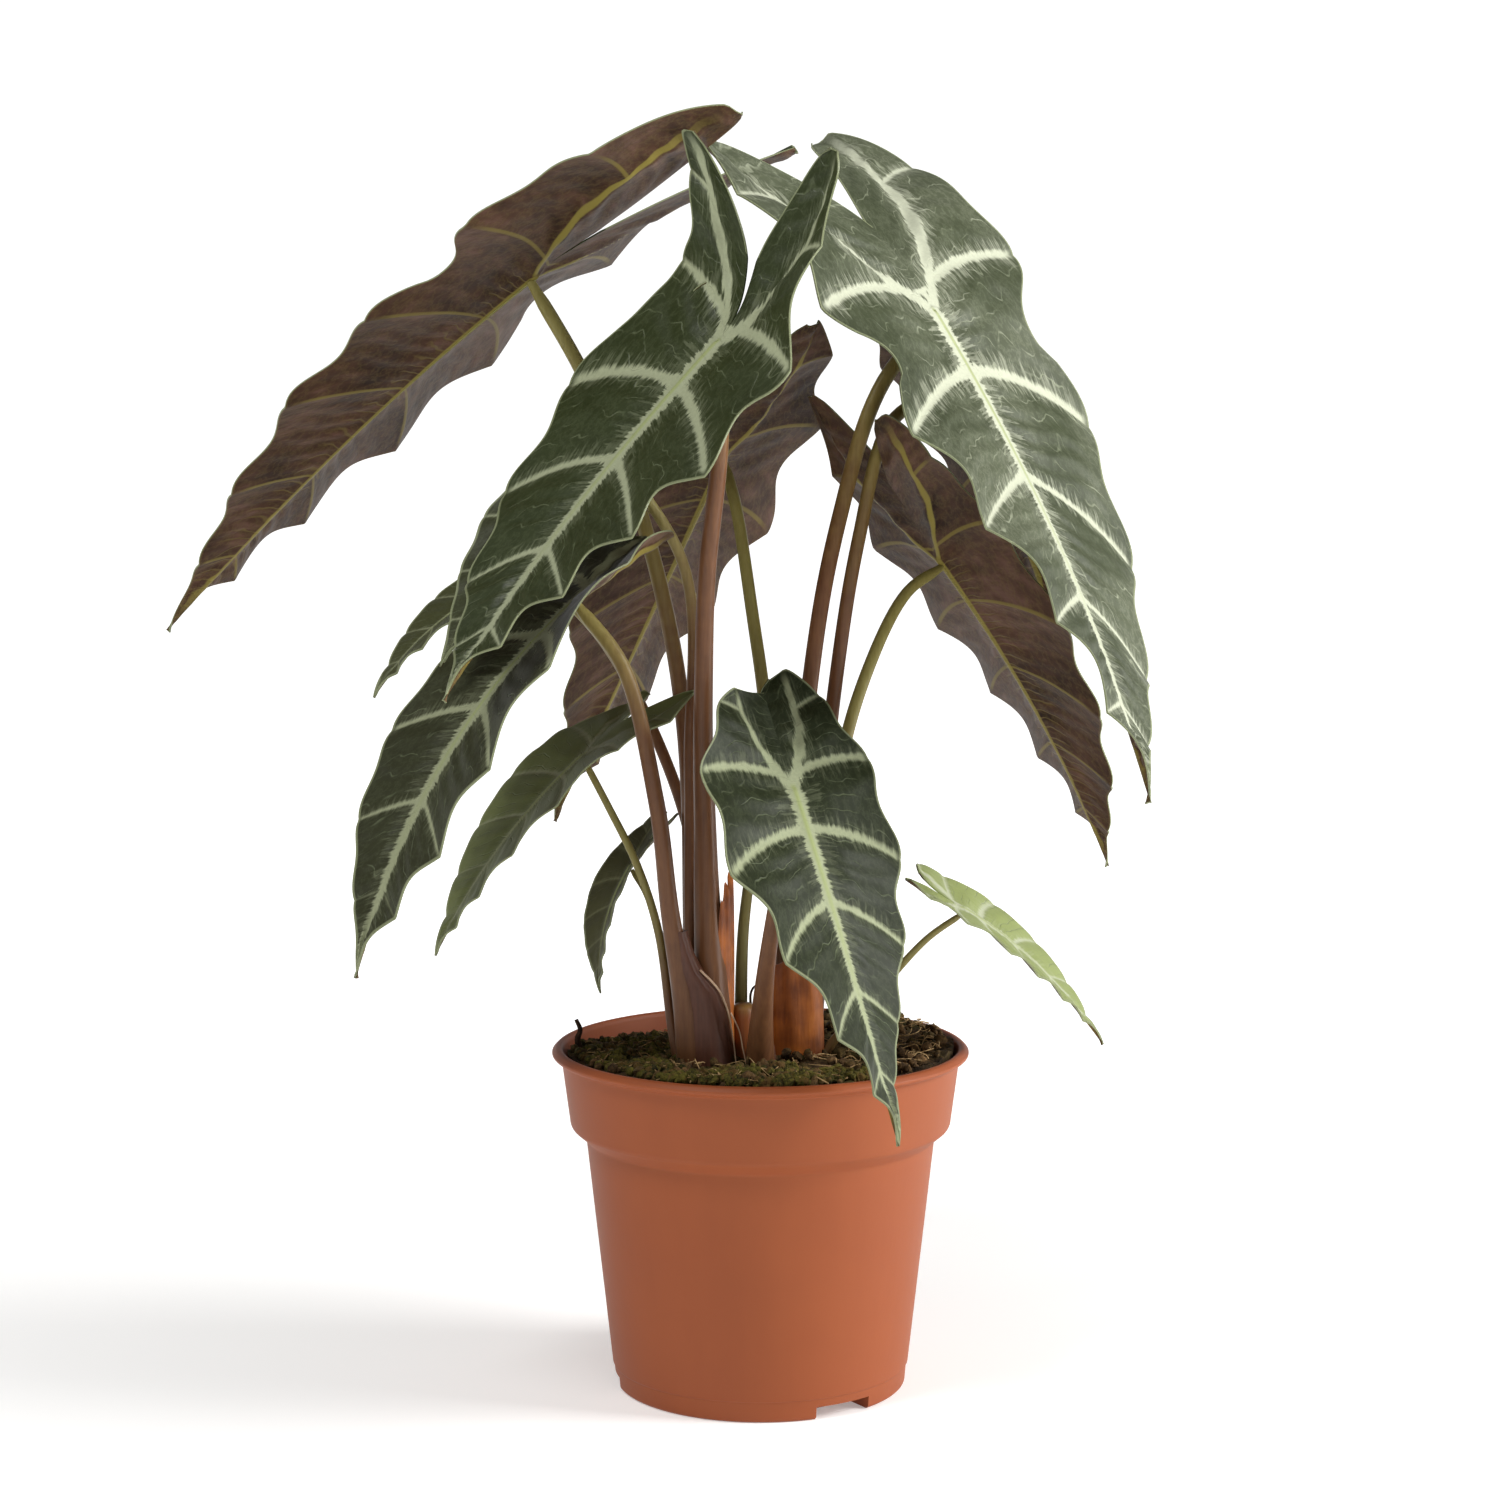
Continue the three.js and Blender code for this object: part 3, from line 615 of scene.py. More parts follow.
# %% [markdown]
# ## Bending the flat blade
# A blade isn't flat: its midrib arches, its halves fold up a little, it turns about the midrib and
# its lobes droop. The flat places are carried on to that bent sheet, and then lifted off it, where
# the tissue puffs up between the veins.

# %% Bent sheet
FOLD_SOFTNESS = 3.0
SWAY_START = 15.0


def sway_reach(u):
    """How far a flat point behind the junction is moved sideways for a sway of 1"""
    back = np.maximum(-u, 0)
    return np.where(back < SWAY_START, back**2 / (2 * SWAY_START), back - SWAY_START / 2)


class Sheet:
    def __init__(self, leaf):
        self.leaf = leaf
        self.junction = np.array(leaf["junction"], float)
        self.tip = np.array(leaf["tip"], float)
        chord = self.tip - self.junction
        reach = np.linalg.norm(chord)
        self.length = reach * (1 + 8 / 3 * (leaf["arch"] / reach) ** 2)
        forward = chord / reach
        up = unit(np.array([0, 0, 1.0]) - forward * forward[2])
        roll = math.radians(leaf["roll"])
        up = up * math.cos(roll) + np.cross(forward, up) * math.sin(roll)
        self.aside = np.cross(up, forward)
        lift = up * 2 * leaf["arch"] + self.aside * 2 * leaf["bow"]
        self.middle = (self.junction + self.tip) / 2 + lift

    def midrib(self, share):
        share = share[..., None]
        a, b, c = self.junction, self.middle, self.tip
        place = a * (1 - share) ** 2 + b * 2 * share * (1 - share) + c * share**2
        tangent = unit((b - a) * (1 - share) + (c - b) * share)
        return place, tangent

    def at(self, u, v, half, lift):
        leaf = self.leaf
        share = np.clip(u / self.length, 0, 1)
        place, tangent = self.midrib(share)
        across = unit(self.aside - tangent * (tangent @ self.aside)[..., None])
        turn = (math.radians(leaf["twist"]) * share)[..., None]
        across = across * np.cos(turn) + np.cross(tangent, across) * np.sin(turn)
        normal = np.cross(tangent, across)
        fold = np.radians(np.array(leaf["folds"])[half])

        lobe = np.array(leaf["lobes"])[half]
        back = np.maximum(-u, 0)
        bend = np.radians(np.array(leaf["lobe_bends"])[half]) / lobe
        turn = (back * bend)[..., None]
        bend = bend[..., None]
        droop = -tangent * np.sin(turn) / bend - normal * (1 - np.cos(turn)) / bend
        behind = (u < 0)[..., None]
        place = np.where(behind, self.junction + droop, place)
        normal = np.where(behind, normal * np.cos(turn) - tangent * np.sin(turn), normal)
        fold = fold + (math.radians(leaf["lobe_fold"]) - fold) * rise(back / lobe, 0, 0.6)

        v = v + leaf["sway"] * sway_reach(u)
        rounded = np.sqrt(v**2 + FOLD_SOFTNESS**2) - FOLD_SOFTNESS
        sideways = v * np.cos(fold) - lift * np.sin(fold) * v / (rounded + FOLD_SOFTNESS)
        upward = rounded * np.sin(fold) + lift * np.cos(fold)
        return place + across * sideways[..., None] + normal * upward[..., None]


print("longest blade:", round(max(Sheet(leaf).length for leaf in LEAVES.values())), "mm")

# %% [markdown]
# ## Relief of a blade
# The veins lie in shallow valleys of the upper face, the tissue between them stands up like a
# quilt, and the margin is pinched upwards between two veins. Under the blade the midrib stands
# out as a strong rib, so the sheet gets a thickness that follows the veins.

# %% Relief and thickness
QUILT = 2.6
RIPPLE = 0.35
RIPPLE_LENGTH = 6.5
WANDER = 0.8
LOBE_VALLEY = 1.2
THIN = 0.45
RIB = 2.0
SIDE_RIB = 0.5
LOBE_RIB = 1.1


def blade_fields(leaf, fading, length, half, rows, columns):
    """The flat places of half a blade with the vein distances, relief and thickness on them"""
    u, v, begin, share, edge = blade_rows(leaf, length, half, rows, columns)
    side = -1 if half else 1
    size = length / 165
    number = vein_number(begin)
    spacing = np.gradient(begin[:, :1], axis=0) / np.gradient(number[:, :1] + 1e-9 * begin[:, :1], axis=0)
    spacing = np.clip(np.abs(spacing) * length, 5, 60)
    lean = lean_at(begin) + 2 * VEIN_SWEEP * v / leaf["widths"][half]
    side_off = np.sin(math.pi * number) * spacing / math.pi / np.sqrt(1 + lean**2)
    along = lobe_direction(leaf)
    lobe = leaf["lobes"][half]
    lobe_share = (u * along[0] + v * along[1]) / lobe
    bow = 0.07 * lobe * np.sin(math.pi * np.clip(lobe_share, 0, 1))
    lobe_off = u * along[1] - v * along[0] - bow
    behind = rise(lobe_share, 0.0, 0.15)
    outside = rise(lobe_off, -1.5, 1.5)
    has_side = 1 - behind * (1 - outside)
    fade = np.clip(1.0 - fading * np.maximum(number - 1, 0), 0, 1) * np.where(number < -0.5, 0.7, 1)
    strength = has_side * fade * rise(1 - begin, 0.04, 0.2)

    between = np.abs(np.sin(math.pi * number)) ** 0.8
    quilt = between * rise(share, 0.0, 0.4) * (0.7 + 0.6 * share**2) * has_side
    crease = np.sin(2 * math.pi * begin * length / RIPPLE_LENGTH + 2.5 * np.sin(v * 0.16 + 3 * side))
    crease = crease * between * rise(share, 0.02, 0.2) * rise(1 - share, 0.02, 0.3)
    valley = np.exp(-((lobe_off / 5) ** 2)) * rise(lobe_share, -0.05, 0.1) * (1 - rise(lobe_share, 0.8, 1.05))
    ridge = np.exp(-((v / 1.3) ** 2)) * np.clip(1 - begin, 0, 1) * (u > 0)
    wander = np.sin(u * 0.055 + side * 1.7) * np.cos(v * 0.07 + 0.4) * rise(share, 0, 0.8)
    lift = QUILT * (quilt - 0.45 * share) + RIPPLE * crease + WANDER * wander
    lift = size * (lift - LOBE_VALLEY * valley * rise(share, 0, 0.3)) + 0.5 * ridge

    rib = RIB * np.exp(-((v / 1.7) ** 2)) * np.clip(1 - u / length, 0, 1) ** 0.7 * rise(u, -6, 0)
    side_rib = SIDE_RIB * strength * np.exp(-((side_off / 1.0) ** 2)) * (1 - share)
    lobe_rib = LOBE_RIB * np.exp(-((lobe_off / 1.4) ** 2)) * np.clip(1 - lobe_share, 0, 1) * (lobe_share > 0)
    thickness = THIN + size * np.maximum.reduce([rib, side_rib, lobe_rib])
    return {
        "u": u, "v": side * v, "lift": lift, "thickness": thickness,
        "flat": (u, side * v, begin * length),
        "veins": (side * v, side_off, np.where(lobe_share > 0, lobe_off, 99.0)),
        "reach": (share, edge, strength),
        "lobe": (lobe_share, begin, number),
    }


print("relief ready")

# %% [markdown]
# ## Colours of a blade
# The upper face is a dark olive green with a satin gloss. Its veins are broad, pale and feathered,
# because fine veins leave them on both sides. The vein distances stored on the blade place every
# line, so that colour and relief agree. No two leaves are alike: a new leaf is light green, an old
# one is greyer, partly from silvery fine veins and partly from painted sheen, and the small ones are
# brownish. The front low and lower left leaves are darkened towards the darkest green, which is
# painted shade. Each blade carries its own tone for that.

# %% Tone of each leaf
# Darkening a leaf towards the darkest green is painted shade, and the flat pale lift of the grey tone is
# painted sheen.
PLAIN_TONE = {"grey": 0.1, "brown": 0.0, "fresh": 0.0, "deep": 0.0, "gloss": 0.0, "band": 1.1, "fading": 0.16}
TONES = {
    "upper_right": {"grey": 0.85, "band": 1.6},
    "high_front": {"grey": 0.12, "gloss": 1.0, "band": 1.5},
    "lower_left": {"brown": 0.3, "deep": 0.3, "band": 1.7, "fading": 0.26},
    "tucked_left": {"brown": 0.3, "band": 0.8},
    "tucked_back_left": {"brown": 0.45, "fresh": 0.1, "band": 0.5},
    "front_low": {"grey": 0.0, "deep": 0.55, "band": 1.25},
    "small_left": {"brown": 0.5, "fresh": 0.52, "band": 0.7, "fading": 0.3},
    "young_left": {"brown": 1.0, "fresh": 0.16, "band": 0.4},
    "young_right": {"fresh": 1.0, "band": 0.9},
}


def tone_of(name):
    return {**PLAIN_TONE, **TONES.get(name, {})}


# %% Upper face
# The darkest green is painted shade.
PAINTED_SHADE_GREEN = (19, 23, 9)
DARK_GREEN = (30, 36, 16)
SOFT_GREEN = (52, 60, 32)
BROWN_TISSUE = (52, 44, 26)
FRESH_TISSUE = (134, 144, 88)
VEIN_PALE = (150, 156, 124)
VEIN_GREY = (192, 195, 173)
CORE = (142, 152, 92)
VEIN_DULL = (112, 112, 78)
THREAD = (100, 108, 80)
MARGIN = (136, 142, 108)


def fine_lines(r, q, v, number, count):
    """A value that is 0 along each of the fine lines, so many of them from one side vein to the next"""
    wander = r.noise_at(q * 0.07, v * 0.09, 2.0, 2.0)
    return abs((math.pi * (number * count + wander * 3.0)).math("SINE"))


def web_of(fine):
    """Thin threads where the noise is in the middle of its range"""
    return (1 - abs(fine * 2.0 - 1.0)) ** 16.0


def upper_face():
    r = Recipe("leaf upper face")
    u, v, q = r.attribute("flat")
    _, side_off, lobe_off = r.attribute("veins")
    share, edge, strength = r.attribute("reach")
    lobe_share, begin, number = r.attribute("lobe")
    grey, brown, fresh = r.attribute("tone")
    band, gloss, deep = r.attribute("band")
    cloud = r.noise(r.place(), 60.0, 2.0)
    mottle = r.noise(r.place(), 110.0, 4.0, 0.6)
    scurf = r.noise_at(u * 0.9, v * 0.9, roughness=0.7)

    def feathered(distance, width, feather):
        """A pale band with a frayed edge, and the thin haze of fine veins round it"""
        band = r.fall(distance - width * (0.7 + 0.6 * feather), -0.75, 0.45)
        haze = r.fall(distance - width * (1.0 + 2.2 * feather), -1.0, 0.8) * (0.16 + 0.25 * grey) * feather
        return r.most(band, haze)

    feather_side = r.rise(r.noise_at(v * 0.9, q * 0.1, number, 4.0, 0.7), 0.36, 0.66)
    feather_rib = r.rise(r.noise_at(q * 0.9, v * 0.1, 5.0, 4.0, 0.7), 0.36, 0.66)
    foot = r.fall(share, 0.0, 0.16)
    side_width = band * strength * (1.25 - 0.65 * share + 0.7 * foot)
    side_band = feathered(abs(side_off), side_width, feather_side) * r.fall(share, 0.93, 1.0)
    side_band = side_band * r.rise(strength, 0.1, 0.35)
    rib_band = feathered(abs(v), band * (2.2 - 1.6 * begin), feather_rib)
    rib_band = rib_band * r.rise(u, -2.5, -0.5) * r.fall(begin, 0.97, 1.03)
    lobe_band = feathered(abs(lobe_off), band * (1.6 - 1.0 * lobe_share), feather_side)
    lobe_band = lobe_band * r.rise(lobe_share, 0.0, 0.03) * r.fall(lobe_share, 0.85, 1.02)
    pale = r.most(side_band, rib_band, lobe_band) * (0.72 + 0.45 * scurf)

    lines = fine_lines(r, q, v, number, 5.0)
    patchy = r.rise(r.noise_at(q * 0.16, v * 0.12, 8.0), 0.42, 0.62)
    thread = r.fall(lines, 0.03, 0.2) * patchy
    net = r.noise_at(q * 0.3, v * 0.3, 3.0, 4.0, 0.65)
    web = web_of(net)

    # Grey leaves get silvery threads, which are their own colour, and a flat pale lift of the tissue, which
    # is painted sheen.
    frost_and_sheen = grey * (0.3 + 0.7 * r.rise(r.noise(r.place(), 24.0, 2.0), 0.4, 0.6))
    tissue = r.mix(DARK_GREEN, SOFT_GREEN, mottle * 0.6 + cloud * 0.5 - 0.05 + frost_and_sheen * 0.3)
    # Painted shade: the front low and lower left leaves are darkened towards the darkest green.
    tissue = r.mix(tissue, PAINTED_SHADE_GREEN, deep)
    tissue = r.mix(tissue, BROWN_TISSUE, brown)
    tissue = r.mix(tissue, FRESH_TISSUE, fresh * (0.85 + mottle * 0.2))
    line = r.mix(r.mix(VEIN_PALE, VEIN_GREY, grey + fresh * 0.3), VEIN_DULL, brown * 0.9)
    tissue = r.mix(tissue, THREAD, (thread * 0.5 + web * 0.14) * (1 - brown * 0.6))
    tissue = r.mix(tissue, line, (thread * 0.3 + web * 0.12 + 0.11) * frost_and_sheen)
    veined = r.mix(tissue, line, pale)
    core = r.fall(abs(v), 0.3, 1.1) * r.rise(u, -2.0, 0.0) * r.fall(begin, 0.1, 0.8)
    veined = r.mix(veined, CORE, core * 0.7)
    veined = r.mix(veined, MARGIN, r.fall(edge, 0.3, 0.75) * 0.75)

    relief = net * 0.3 + mottle * 0.3 + cloud * 0.8 - pale * 0.3 - thread * 0.25
    rough = 0.41 - gloss * 0.14 + mottle * 0.16 + pale * 0.1
    return r.finish(veined, rough, 0.2, relief, 0.4)


leaf_upper = upper_face()
print("material:", leaf_upper.name)

# %% [markdown]
# The underside is a dull purple brown, patchy in itself; its patches follow the relief, so its dark
# creases are painted shade and its pinkish patches on the folds are painted sheen. Its midrib and
# the veins stand out and keep a green tint, and the fine veins show as a net, because the light
# comes through the tissue a little.

# %% Underside
UNDER_DARK = (36, 22, 14)
UNDER_LIGHT = (78, 54, 40)
UNDER_PAINTED_SHEEN = (116, 86, 76)
UNDER_NET = (104, 88, 52)
UNDER_VEIN = (118, 104, 50)
UNDER_RIB = (134, 122, 58)


def under_face():
    r = Recipe("leaf underside")
    u, v, q = r.attribute("flat")
    _, side_off, lobe_off = r.attribute("veins")
    share, edge, strength = r.attribute("reach")
    lobe_share, begin, number = r.attribute("lobe")

    patch = r.noise(r.place(), 38.0, 3.0)
    streak = r.noise_at(q * 0.28, v * 0.1, 4.0, 4.0, 0.65)
    # The same streaks raise the relief, so the dark creases here are painted shade over the tissue's own
    # patchy purple brown.
    tissue = r.mix(UNDER_DARK, UNDER_LIGHT, r.rise(patch * 0.5 + streak * 0.5, 0.3, 0.62))
    # Painted sheen: pinkish light patches on the folds.
    tissue = r.mix(tissue, UNDER_PAINTED_SHEEN, r.rise(patch * 0.4 + streak * 0.6, 0.52, 0.7) * 0.5)
    fine = r.noise_at(q * 0.3, v * 0.3, 0.0, 4.0, 0.6)
    net = web_of(fine)
    tissue = r.mix(tissue, UNDER_NET, net * 0.35)
    lines = fine_lines(r, q, v, number, 8.0)
    comb = r.fall(lines, 0.08, 0.4) * r.fall(abs(v) - streak * 9.0, 0.0, 5.0) * r.rise(u, -3.0, 0.0)
    tissue = r.mix(tissue, UNDER_NET, comb * 0.7)
    side_line = r.fall(abs(side_off), 0.2, 0.6) * r.rise(strength, 0.1, 0.4) * r.fall(share, 0.75, 1.0)
    lobe_line = r.fall(abs(lobe_off), 0.5, 1.0) * r.rise(lobe_share, 0.0, 0.04) * r.fall(lobe_share, 0.7, 1.0)
    rib_line = r.fall(abs(v) - (1.35 - 1.1 * begin), 0.0, 0.45) * r.rise(u, -3.0, -1.0)
    tissue = r.mix(tissue, UNDER_VEIN, side_line * 0.8)
    tissue = r.mix(tissue, UNDER_RIB, r.most(lobe_line, rib_line * r.fall(begin, 0.85, 1.0)) * 0.9)
    tissue = r.mix(tissue, UNDER_NET, r.fall(edge, 0.3, 0.7) * 0.4)
    return r.finish(tissue, 0.5 + patch * 0.1, 0.15, streak * 0.6 + fine * 0.3 - comb * 0.2, 0.5)


leaf_under = under_face()
print("material:", leaf_under.name)

# %% [markdown]
# ## Making a blade
# A flat grid is the right start, because its rows can follow the side veins and its columns the
# midrib. The middle strip of faces is removed, which leaves two halves. Their inner edges meet
# along the midrib and are merged there, and they stay apart at the notch. Solidify then gives the
# sheet its thickness and its underside.

# %% Blade from a grid
ROW_SPACING = 0.95
COLUMNS = 32
SMALL_COLUMNS = 22


def blade(name, leaf, materials):
    sheet = Sheet(leaf)
    columns = COLUMNS if leaf["widths"][0] > 24 else SMALL_COLUMNS
    rows = round((sheet.length + max(leaf["lobes"])) / ROW_SPACING)
    clear_selection()
    bpy.ops.mesh.primitive_grid_add(x_subdivisions=2 * columns + 1, y_subdivisions=rows, size=2)
    piece = bpy.context.object
    for material in materials:
        piece.data.materials.append(material)
    grid = places_of(piece)
    column = np.rint((grid[:, 0] + 1) / 2 * (2 * columns + 1)).astype(int)
    row = np.rint((grid[:, 1] + 1) / 2 * rows).astype(int)

    tone = tone_of(name)
    halves = [blade_fields(leaf, tone["fading"], sheet.length, half, rows, columns) for half in (0, 1)]
    left = column <= columns
    place_in_half = np.where(left, columns - column, column - columns - 1)

    def gather(pick_field):
        right_half, left_half = (pick_field(fields)[row, place_in_half] for fields in halves)
        return np.where(left, left_half, right_half)

    keys = ("u", "v", "lift", "thickness")
    u, v, lift, thickness = (gather(lambda half, key=key: half[key]) for key in keys)
    move_to(piece, sheet.at(u, v, left.astype(int), lift) * MM)
    for layer in ("flat", "veins", "reach", "lobe"):
        mark(piece, layer, [gather(lambda half, k=k: half[layer][k]) for k in range(3)])
    for layer, keys in (("tone", ("grey", "brown", "fresh")), ("band", ("band", "gloss", "deep"))):
        mark(piece, layer, [np.full(len(grid), tone[key]) for key in keys])
    most = float(thickness.max())
    group = piece.vertex_groups.new(name="thickness")
    for index, value in enumerate(thickness / most):
        group.add([index], float(value), "REPLACE")

    middles = np.array([grid[list(face.vertices), 0].mean() for face in piece.data.polygons])
    pick(piece, "FACE", np.abs(middles) < 0.5 / (2 * columns + 1))
    bpy.ops.mesh.delete(type="FACE")
    bpy.ops.mesh.select_all(action="SELECT")
    bpy.ops.mesh.remove_doubles(threshold=0.004 * MM)
    leave_edit()
    apply_modifier(
        piece, "SOLIDIFY", thickness=most * MM, offset=-1, vertex_group="thickness",
        material_offset=1, material_offset_rim=0,
    )
    keep(piece, f"blade_{name}", f"leaf_{name}", angle=70)


# %% Every blade
for name, leaf in LEAVES.items():
    blade(name, leaf, (leaf_upper, leaf_under))
blades = [piece for piece in scene.objects if piece.name.startswith("blade_")]
print("blade faces:", sum(len(piece.data.polygons) for piece in blades))

# %% [markdown]
# ## Rings that travel
# Stalks, crowns, the pot and the soil are all a ring that travels: up a stalk, or up the wall of
# the pot, over its rim and down inside. A cylinder with its upright edges divided has those rings,
# and its two flat ends keep it closed.

# %% A cylinder with rings
def ringed_cylinder(sides, rings):
    """A closed cylinder, with the ring and the angle of each of its vertices"""
    clear_selection()
    bpy.ops.mesh.primitive_cylinder_add(vertices=sides, radius=1, depth=2)
    piece = bpy.context.object
    ends = places_of(piece)[:, 2]
    pick(piece, "EDGE", [ends[edge.vertices[0]] * ends[edge.vertices[1]] < 0 for edge in piece.data.edges])
    bpy.ops.mesh.subdivide(number_cuts=rings - 2)
    leave_edit()
    places = places_of(piece)
    ring = np.rint((places[:, 2] + 1) / 2 * (rings - 1)).astype(int)
    return piece, ring, np.arctan2(places[:, 1], places[:, 0])


def upright_rings(x, y, width, depth, angle, height):
    """Places on level rings round a middle, from their half widths, half depths and heights"""
    return np.stack([x + width * np.cos(angle), y + depth * np.sin(angle), height], 1)


def wrap(line, radii, ring, angle):
    """Places round a line, where each ring and angle has its own radius"""
    tangent = unit(np.gradient(line, axis=0))
    side = unit(np.cross(tangent, (0.0, 1.0, 0.0)))
    front = np.cross(side, tangent)
    radii = np.broadcast_to(radii, angle.shape)[:, None]
    return line[ring] + (side[ring] * np.cos(angle)[:, None] + front[ring] * np.sin(angle)[:, None]) * radii


def waves_at(places, scale, seed=0.0):
    """Smooth noise from -1 to 1 at each place, where the scale is the size of a wave"""
    return np.array([noise.noise(Vector(place / scale) + Vector((seed, 0, 0))) for place in places])


print("rings ready")

# %% [markdown]
# ## Stalks
# The stalks are fleshy and smooth. They are purple brown near the soil and turn olive green towards
# the blade, each at its own height. At the foot they widen and clasp the stalk inside them.

# %% Stalk finish
def stalk_finish(name, dark, light):
    r = Recipe(name)
    share, green, _ = r.attribute("stem")
    place = r.place()
    streak = r.streaks(0.04, 900.0, 3.0)
    spots = r.noise(place, 260.0, 2.0)
    brown = r.mix(dark, light, streak * 0.7 + spots * 0.3)
    olive = r.mix((118, 106, 54), (152, 144, 84), streak)
    turn = r.rise(share + green + spots * 0.1, 0.85, 1.25)
    surface = r.mix(brown, olive, turn)
    return r.finish(surface, 0.36 + streak * 0.12, 0.3, streak, 0.12)


stalk_material = stalk_finish("stalk", (72, 42, 26), (130, 88, 54))

# %% Stalks
STALK_SIDES = 24
SOIL_CROWN_Z = 94.5
STALK_RINGS = 64
PLAIN_GREEN = 0.2
GREEN_TOPS = {
    "upper_left": 0.4, "high_front": 0.0, "lower_left": 0.15, "back_centre": 0.5, "back_right": 0.5,
    "upper_right": 0.2, "hidden_right": 0.25, "small_left": 0.6, "young_left": 0.6, "young_right": 0.75,
}
PLAIN_FLARE = (0.25, 8)
FLARES = {"lower_left": (0.8, 26), "high_front": (0.95, 45), "front_low": (0.7, 22), "upper_right": (0.4, 14)}


def stem(points, radii, flare=PLAIN_FLARE, green=0.0, count=STALK_RINGS):
    line = even_line(points, 12, count)
    piece, ring, angle = ringed_cylinder(STALK_SIDES, count)
    share = ring / (count - 1)
    travelled = share * np.linalg.norm(np.diff(line, axis=0), axis=1).sum()
    above = np.maximum(line[ring][:, 2] - SOIL_CROWN_Z, 0)
    radius = radii[0] + (radii[1] - radii[0]) * share
    radius = radius * (1 + flare[0] * np.exp(-((above / flare[1]) ** 1.5)))
    radius = radius * (1 + 0.03 * np.sin(3 * angle + 5 * share) + 0.02 * np.sin(travelled / 7 + angle))
    radius = radius * (1 - 0.35 * rise(share, 0.96, 1))
    move_to(piece, wrap(line, radius, ring, angle) * MM)
    mark(piece, "stem", [share, np.full_like(share, green), above])
    return piece


for name, leaf in LEAVES.items():
    top = np.array(leaf["junction"]) - np.array([0, 0, 1.6])
    green = GREEN_TOPS.get(name, PLAIN_GREEN)
    piece = stem([*leaf["stalk"], top], leaf["radii"], FLARES.get(name, PLAIN_FLARE), green)
    keep(piece, f"petiole_{name}", f"stalk_{name}", stalk_material)
print("stalks:", len(LEAVES))

# %% [markdown]
# Between the crowns stand two more bits of stalk: a thin olive one, and a stump that was cut off.

# %% Bare stalks
spare = stem([(-5, -3.5, 90), (-5.5, -4, 112), (-5, -4, 132), (-3, -4, 150)], (2.0, 1.5), green=0.9)
keep(spare, "bare_stalk", "spare_stalk", stalk_material)
stump = stem([(-4, -10.5, 90), (-4.5, -11, 103), (-5, -11.5, 113)], (3.6, 3.2), count=30)
keep(stump, "stalk_stump", "cut_stump", stalk_finish("old stalk", (110, 58, 28), (164, 96, 50)))

# %% [markdown]
# ## The pot
# A thin moulded nursery pot: a rolled lip, a tall collar that steps in to the tapering body, and a
# foot with three drain pockets. Its section is drawn once, from the middle of the underside up the
# outside, over the lip and down to the middle of the floor.

# %% Section of the pot
WALL = 1.3
POT_SECTION = (
    (3, 0), (41.2, 0), (42.0, 0.7), (42.5, 6), (42.9, 6.4), (50.3, 72.5), (54.4, 76), (54.8, 76.8),
    (57.3, 95.6), (59.4, 96.4), (60, 97), (60, 97.6), (58.9, 98.7), (58, 99), (57.2, 98.8), (56.7, 97.8),
    (53.5, 77), (49, 73.4), (41.2, 2.6), (40.2, 1.6), (3, 1.6),
)
FOOT_RADIUS = 42.2
DRAIN_ANGLES = (34, 154, 274)
DRAIN_WIDTH = 18
DRAIN_DEPTH = 10
DRAIN_HEIGHT = 3.8
# The roof of a pocket reaches from inside the floor to the inner wall, and the pocket is cut past the foot
DRAIN_ROOF = {"margin": WALL, "bottom": 0.8, "outer": 40.2}
DRAIN_POCKET = {"margin": 0, "bottom": -2, "outer": 50}


def rounded(corners, radius, steps=5):
    """A section in which a small curve takes the place of each corner"""
    corners = np.array(corners, float)
    line = [corners[0]]
    for before, corner, after in zip(corners, corners[1:], corners[2:]):
        arms = before - corner, after - corner
        reach = min(radius, *(np.linalg.norm(arm) / 2.2 for arm in arms))
        start, end = (corner + unit(arm) * reach for arm in arms)
        for share in np.linspace(0, 1, steps):
            line.append(start * (1 - share) ** 2 + 2 * corner * share * (1 - share) + end * share**2)
    return np.array([*line, corners[-1]])


def turned(section, sides):
    piece, ring, angle = ringed_cylinder(sides, len(section))
    radius, height = section[ring].T
    move_to(piece, upright_rings(0, 0, radius, radius, angle, height) * MM)
    return piece


def cut(piece, cutter, operation):
    apply_modifier(piece, "BOOLEAN", object=cutter, operation=operation, solver="EXACT")
    bpy.data.objects.remove(cutter)


def drain_block(angle, margin, bottom, outer):
    """A block across the foot at a drain pocket, grown by a margin"""
    clear_selection()
    top = DRAIN_HEIGHT + margin
    inner = FOOT_RADIUS - DRAIN_DEPTH - margin
    middle = Vector((0, -(outer + inner) / 2, (bottom + top) / 2)) * MM
    bpy.ops.mesh.primitive_cube_add(size=1, location=middle)
    block = bpy.context.object
    block.scale = Vector((DRAIN_WIDTH + 2 * margin, outer - inner, top - bottom)) * MM
    bpy.ops.object.transform_apply(location=True, rotation=False, scale=True)
    bpy.ops.transform.rotate(value=-math.radians(angle), orient_axis="Z", center_override=(0, 0, 0))
    bpy.ops.object.transform_apply(location=True, rotation=True, scale=True)
    return block


# %% Pot finish
def pot_finish():
    r = Recipe("terracotta plastic")
    place = r.place()
    cloud = r.noise(place, 28.0, 4.0, 0.6)
    fine = r.noise(place, 700.0, 2.0)
    streak = r.streaks(0.05, 160.0, 3.0)
    dust = r.rise(r.noise(place, 120.0, 5.0, 0.7), 0.62, 0.8)
    body = r.mix((138, 68, 33), (155, 81, 42), cloud * 0.7 + streak * 0.3)
    body = r.mix(body, (180, 120, 92), dust * 0.1)
    return r.finish(body, 0.5 + cloud * 0.1 + dust * 0.1, 0.3, fine * 0.4 + streak * 0.3, 0.05)


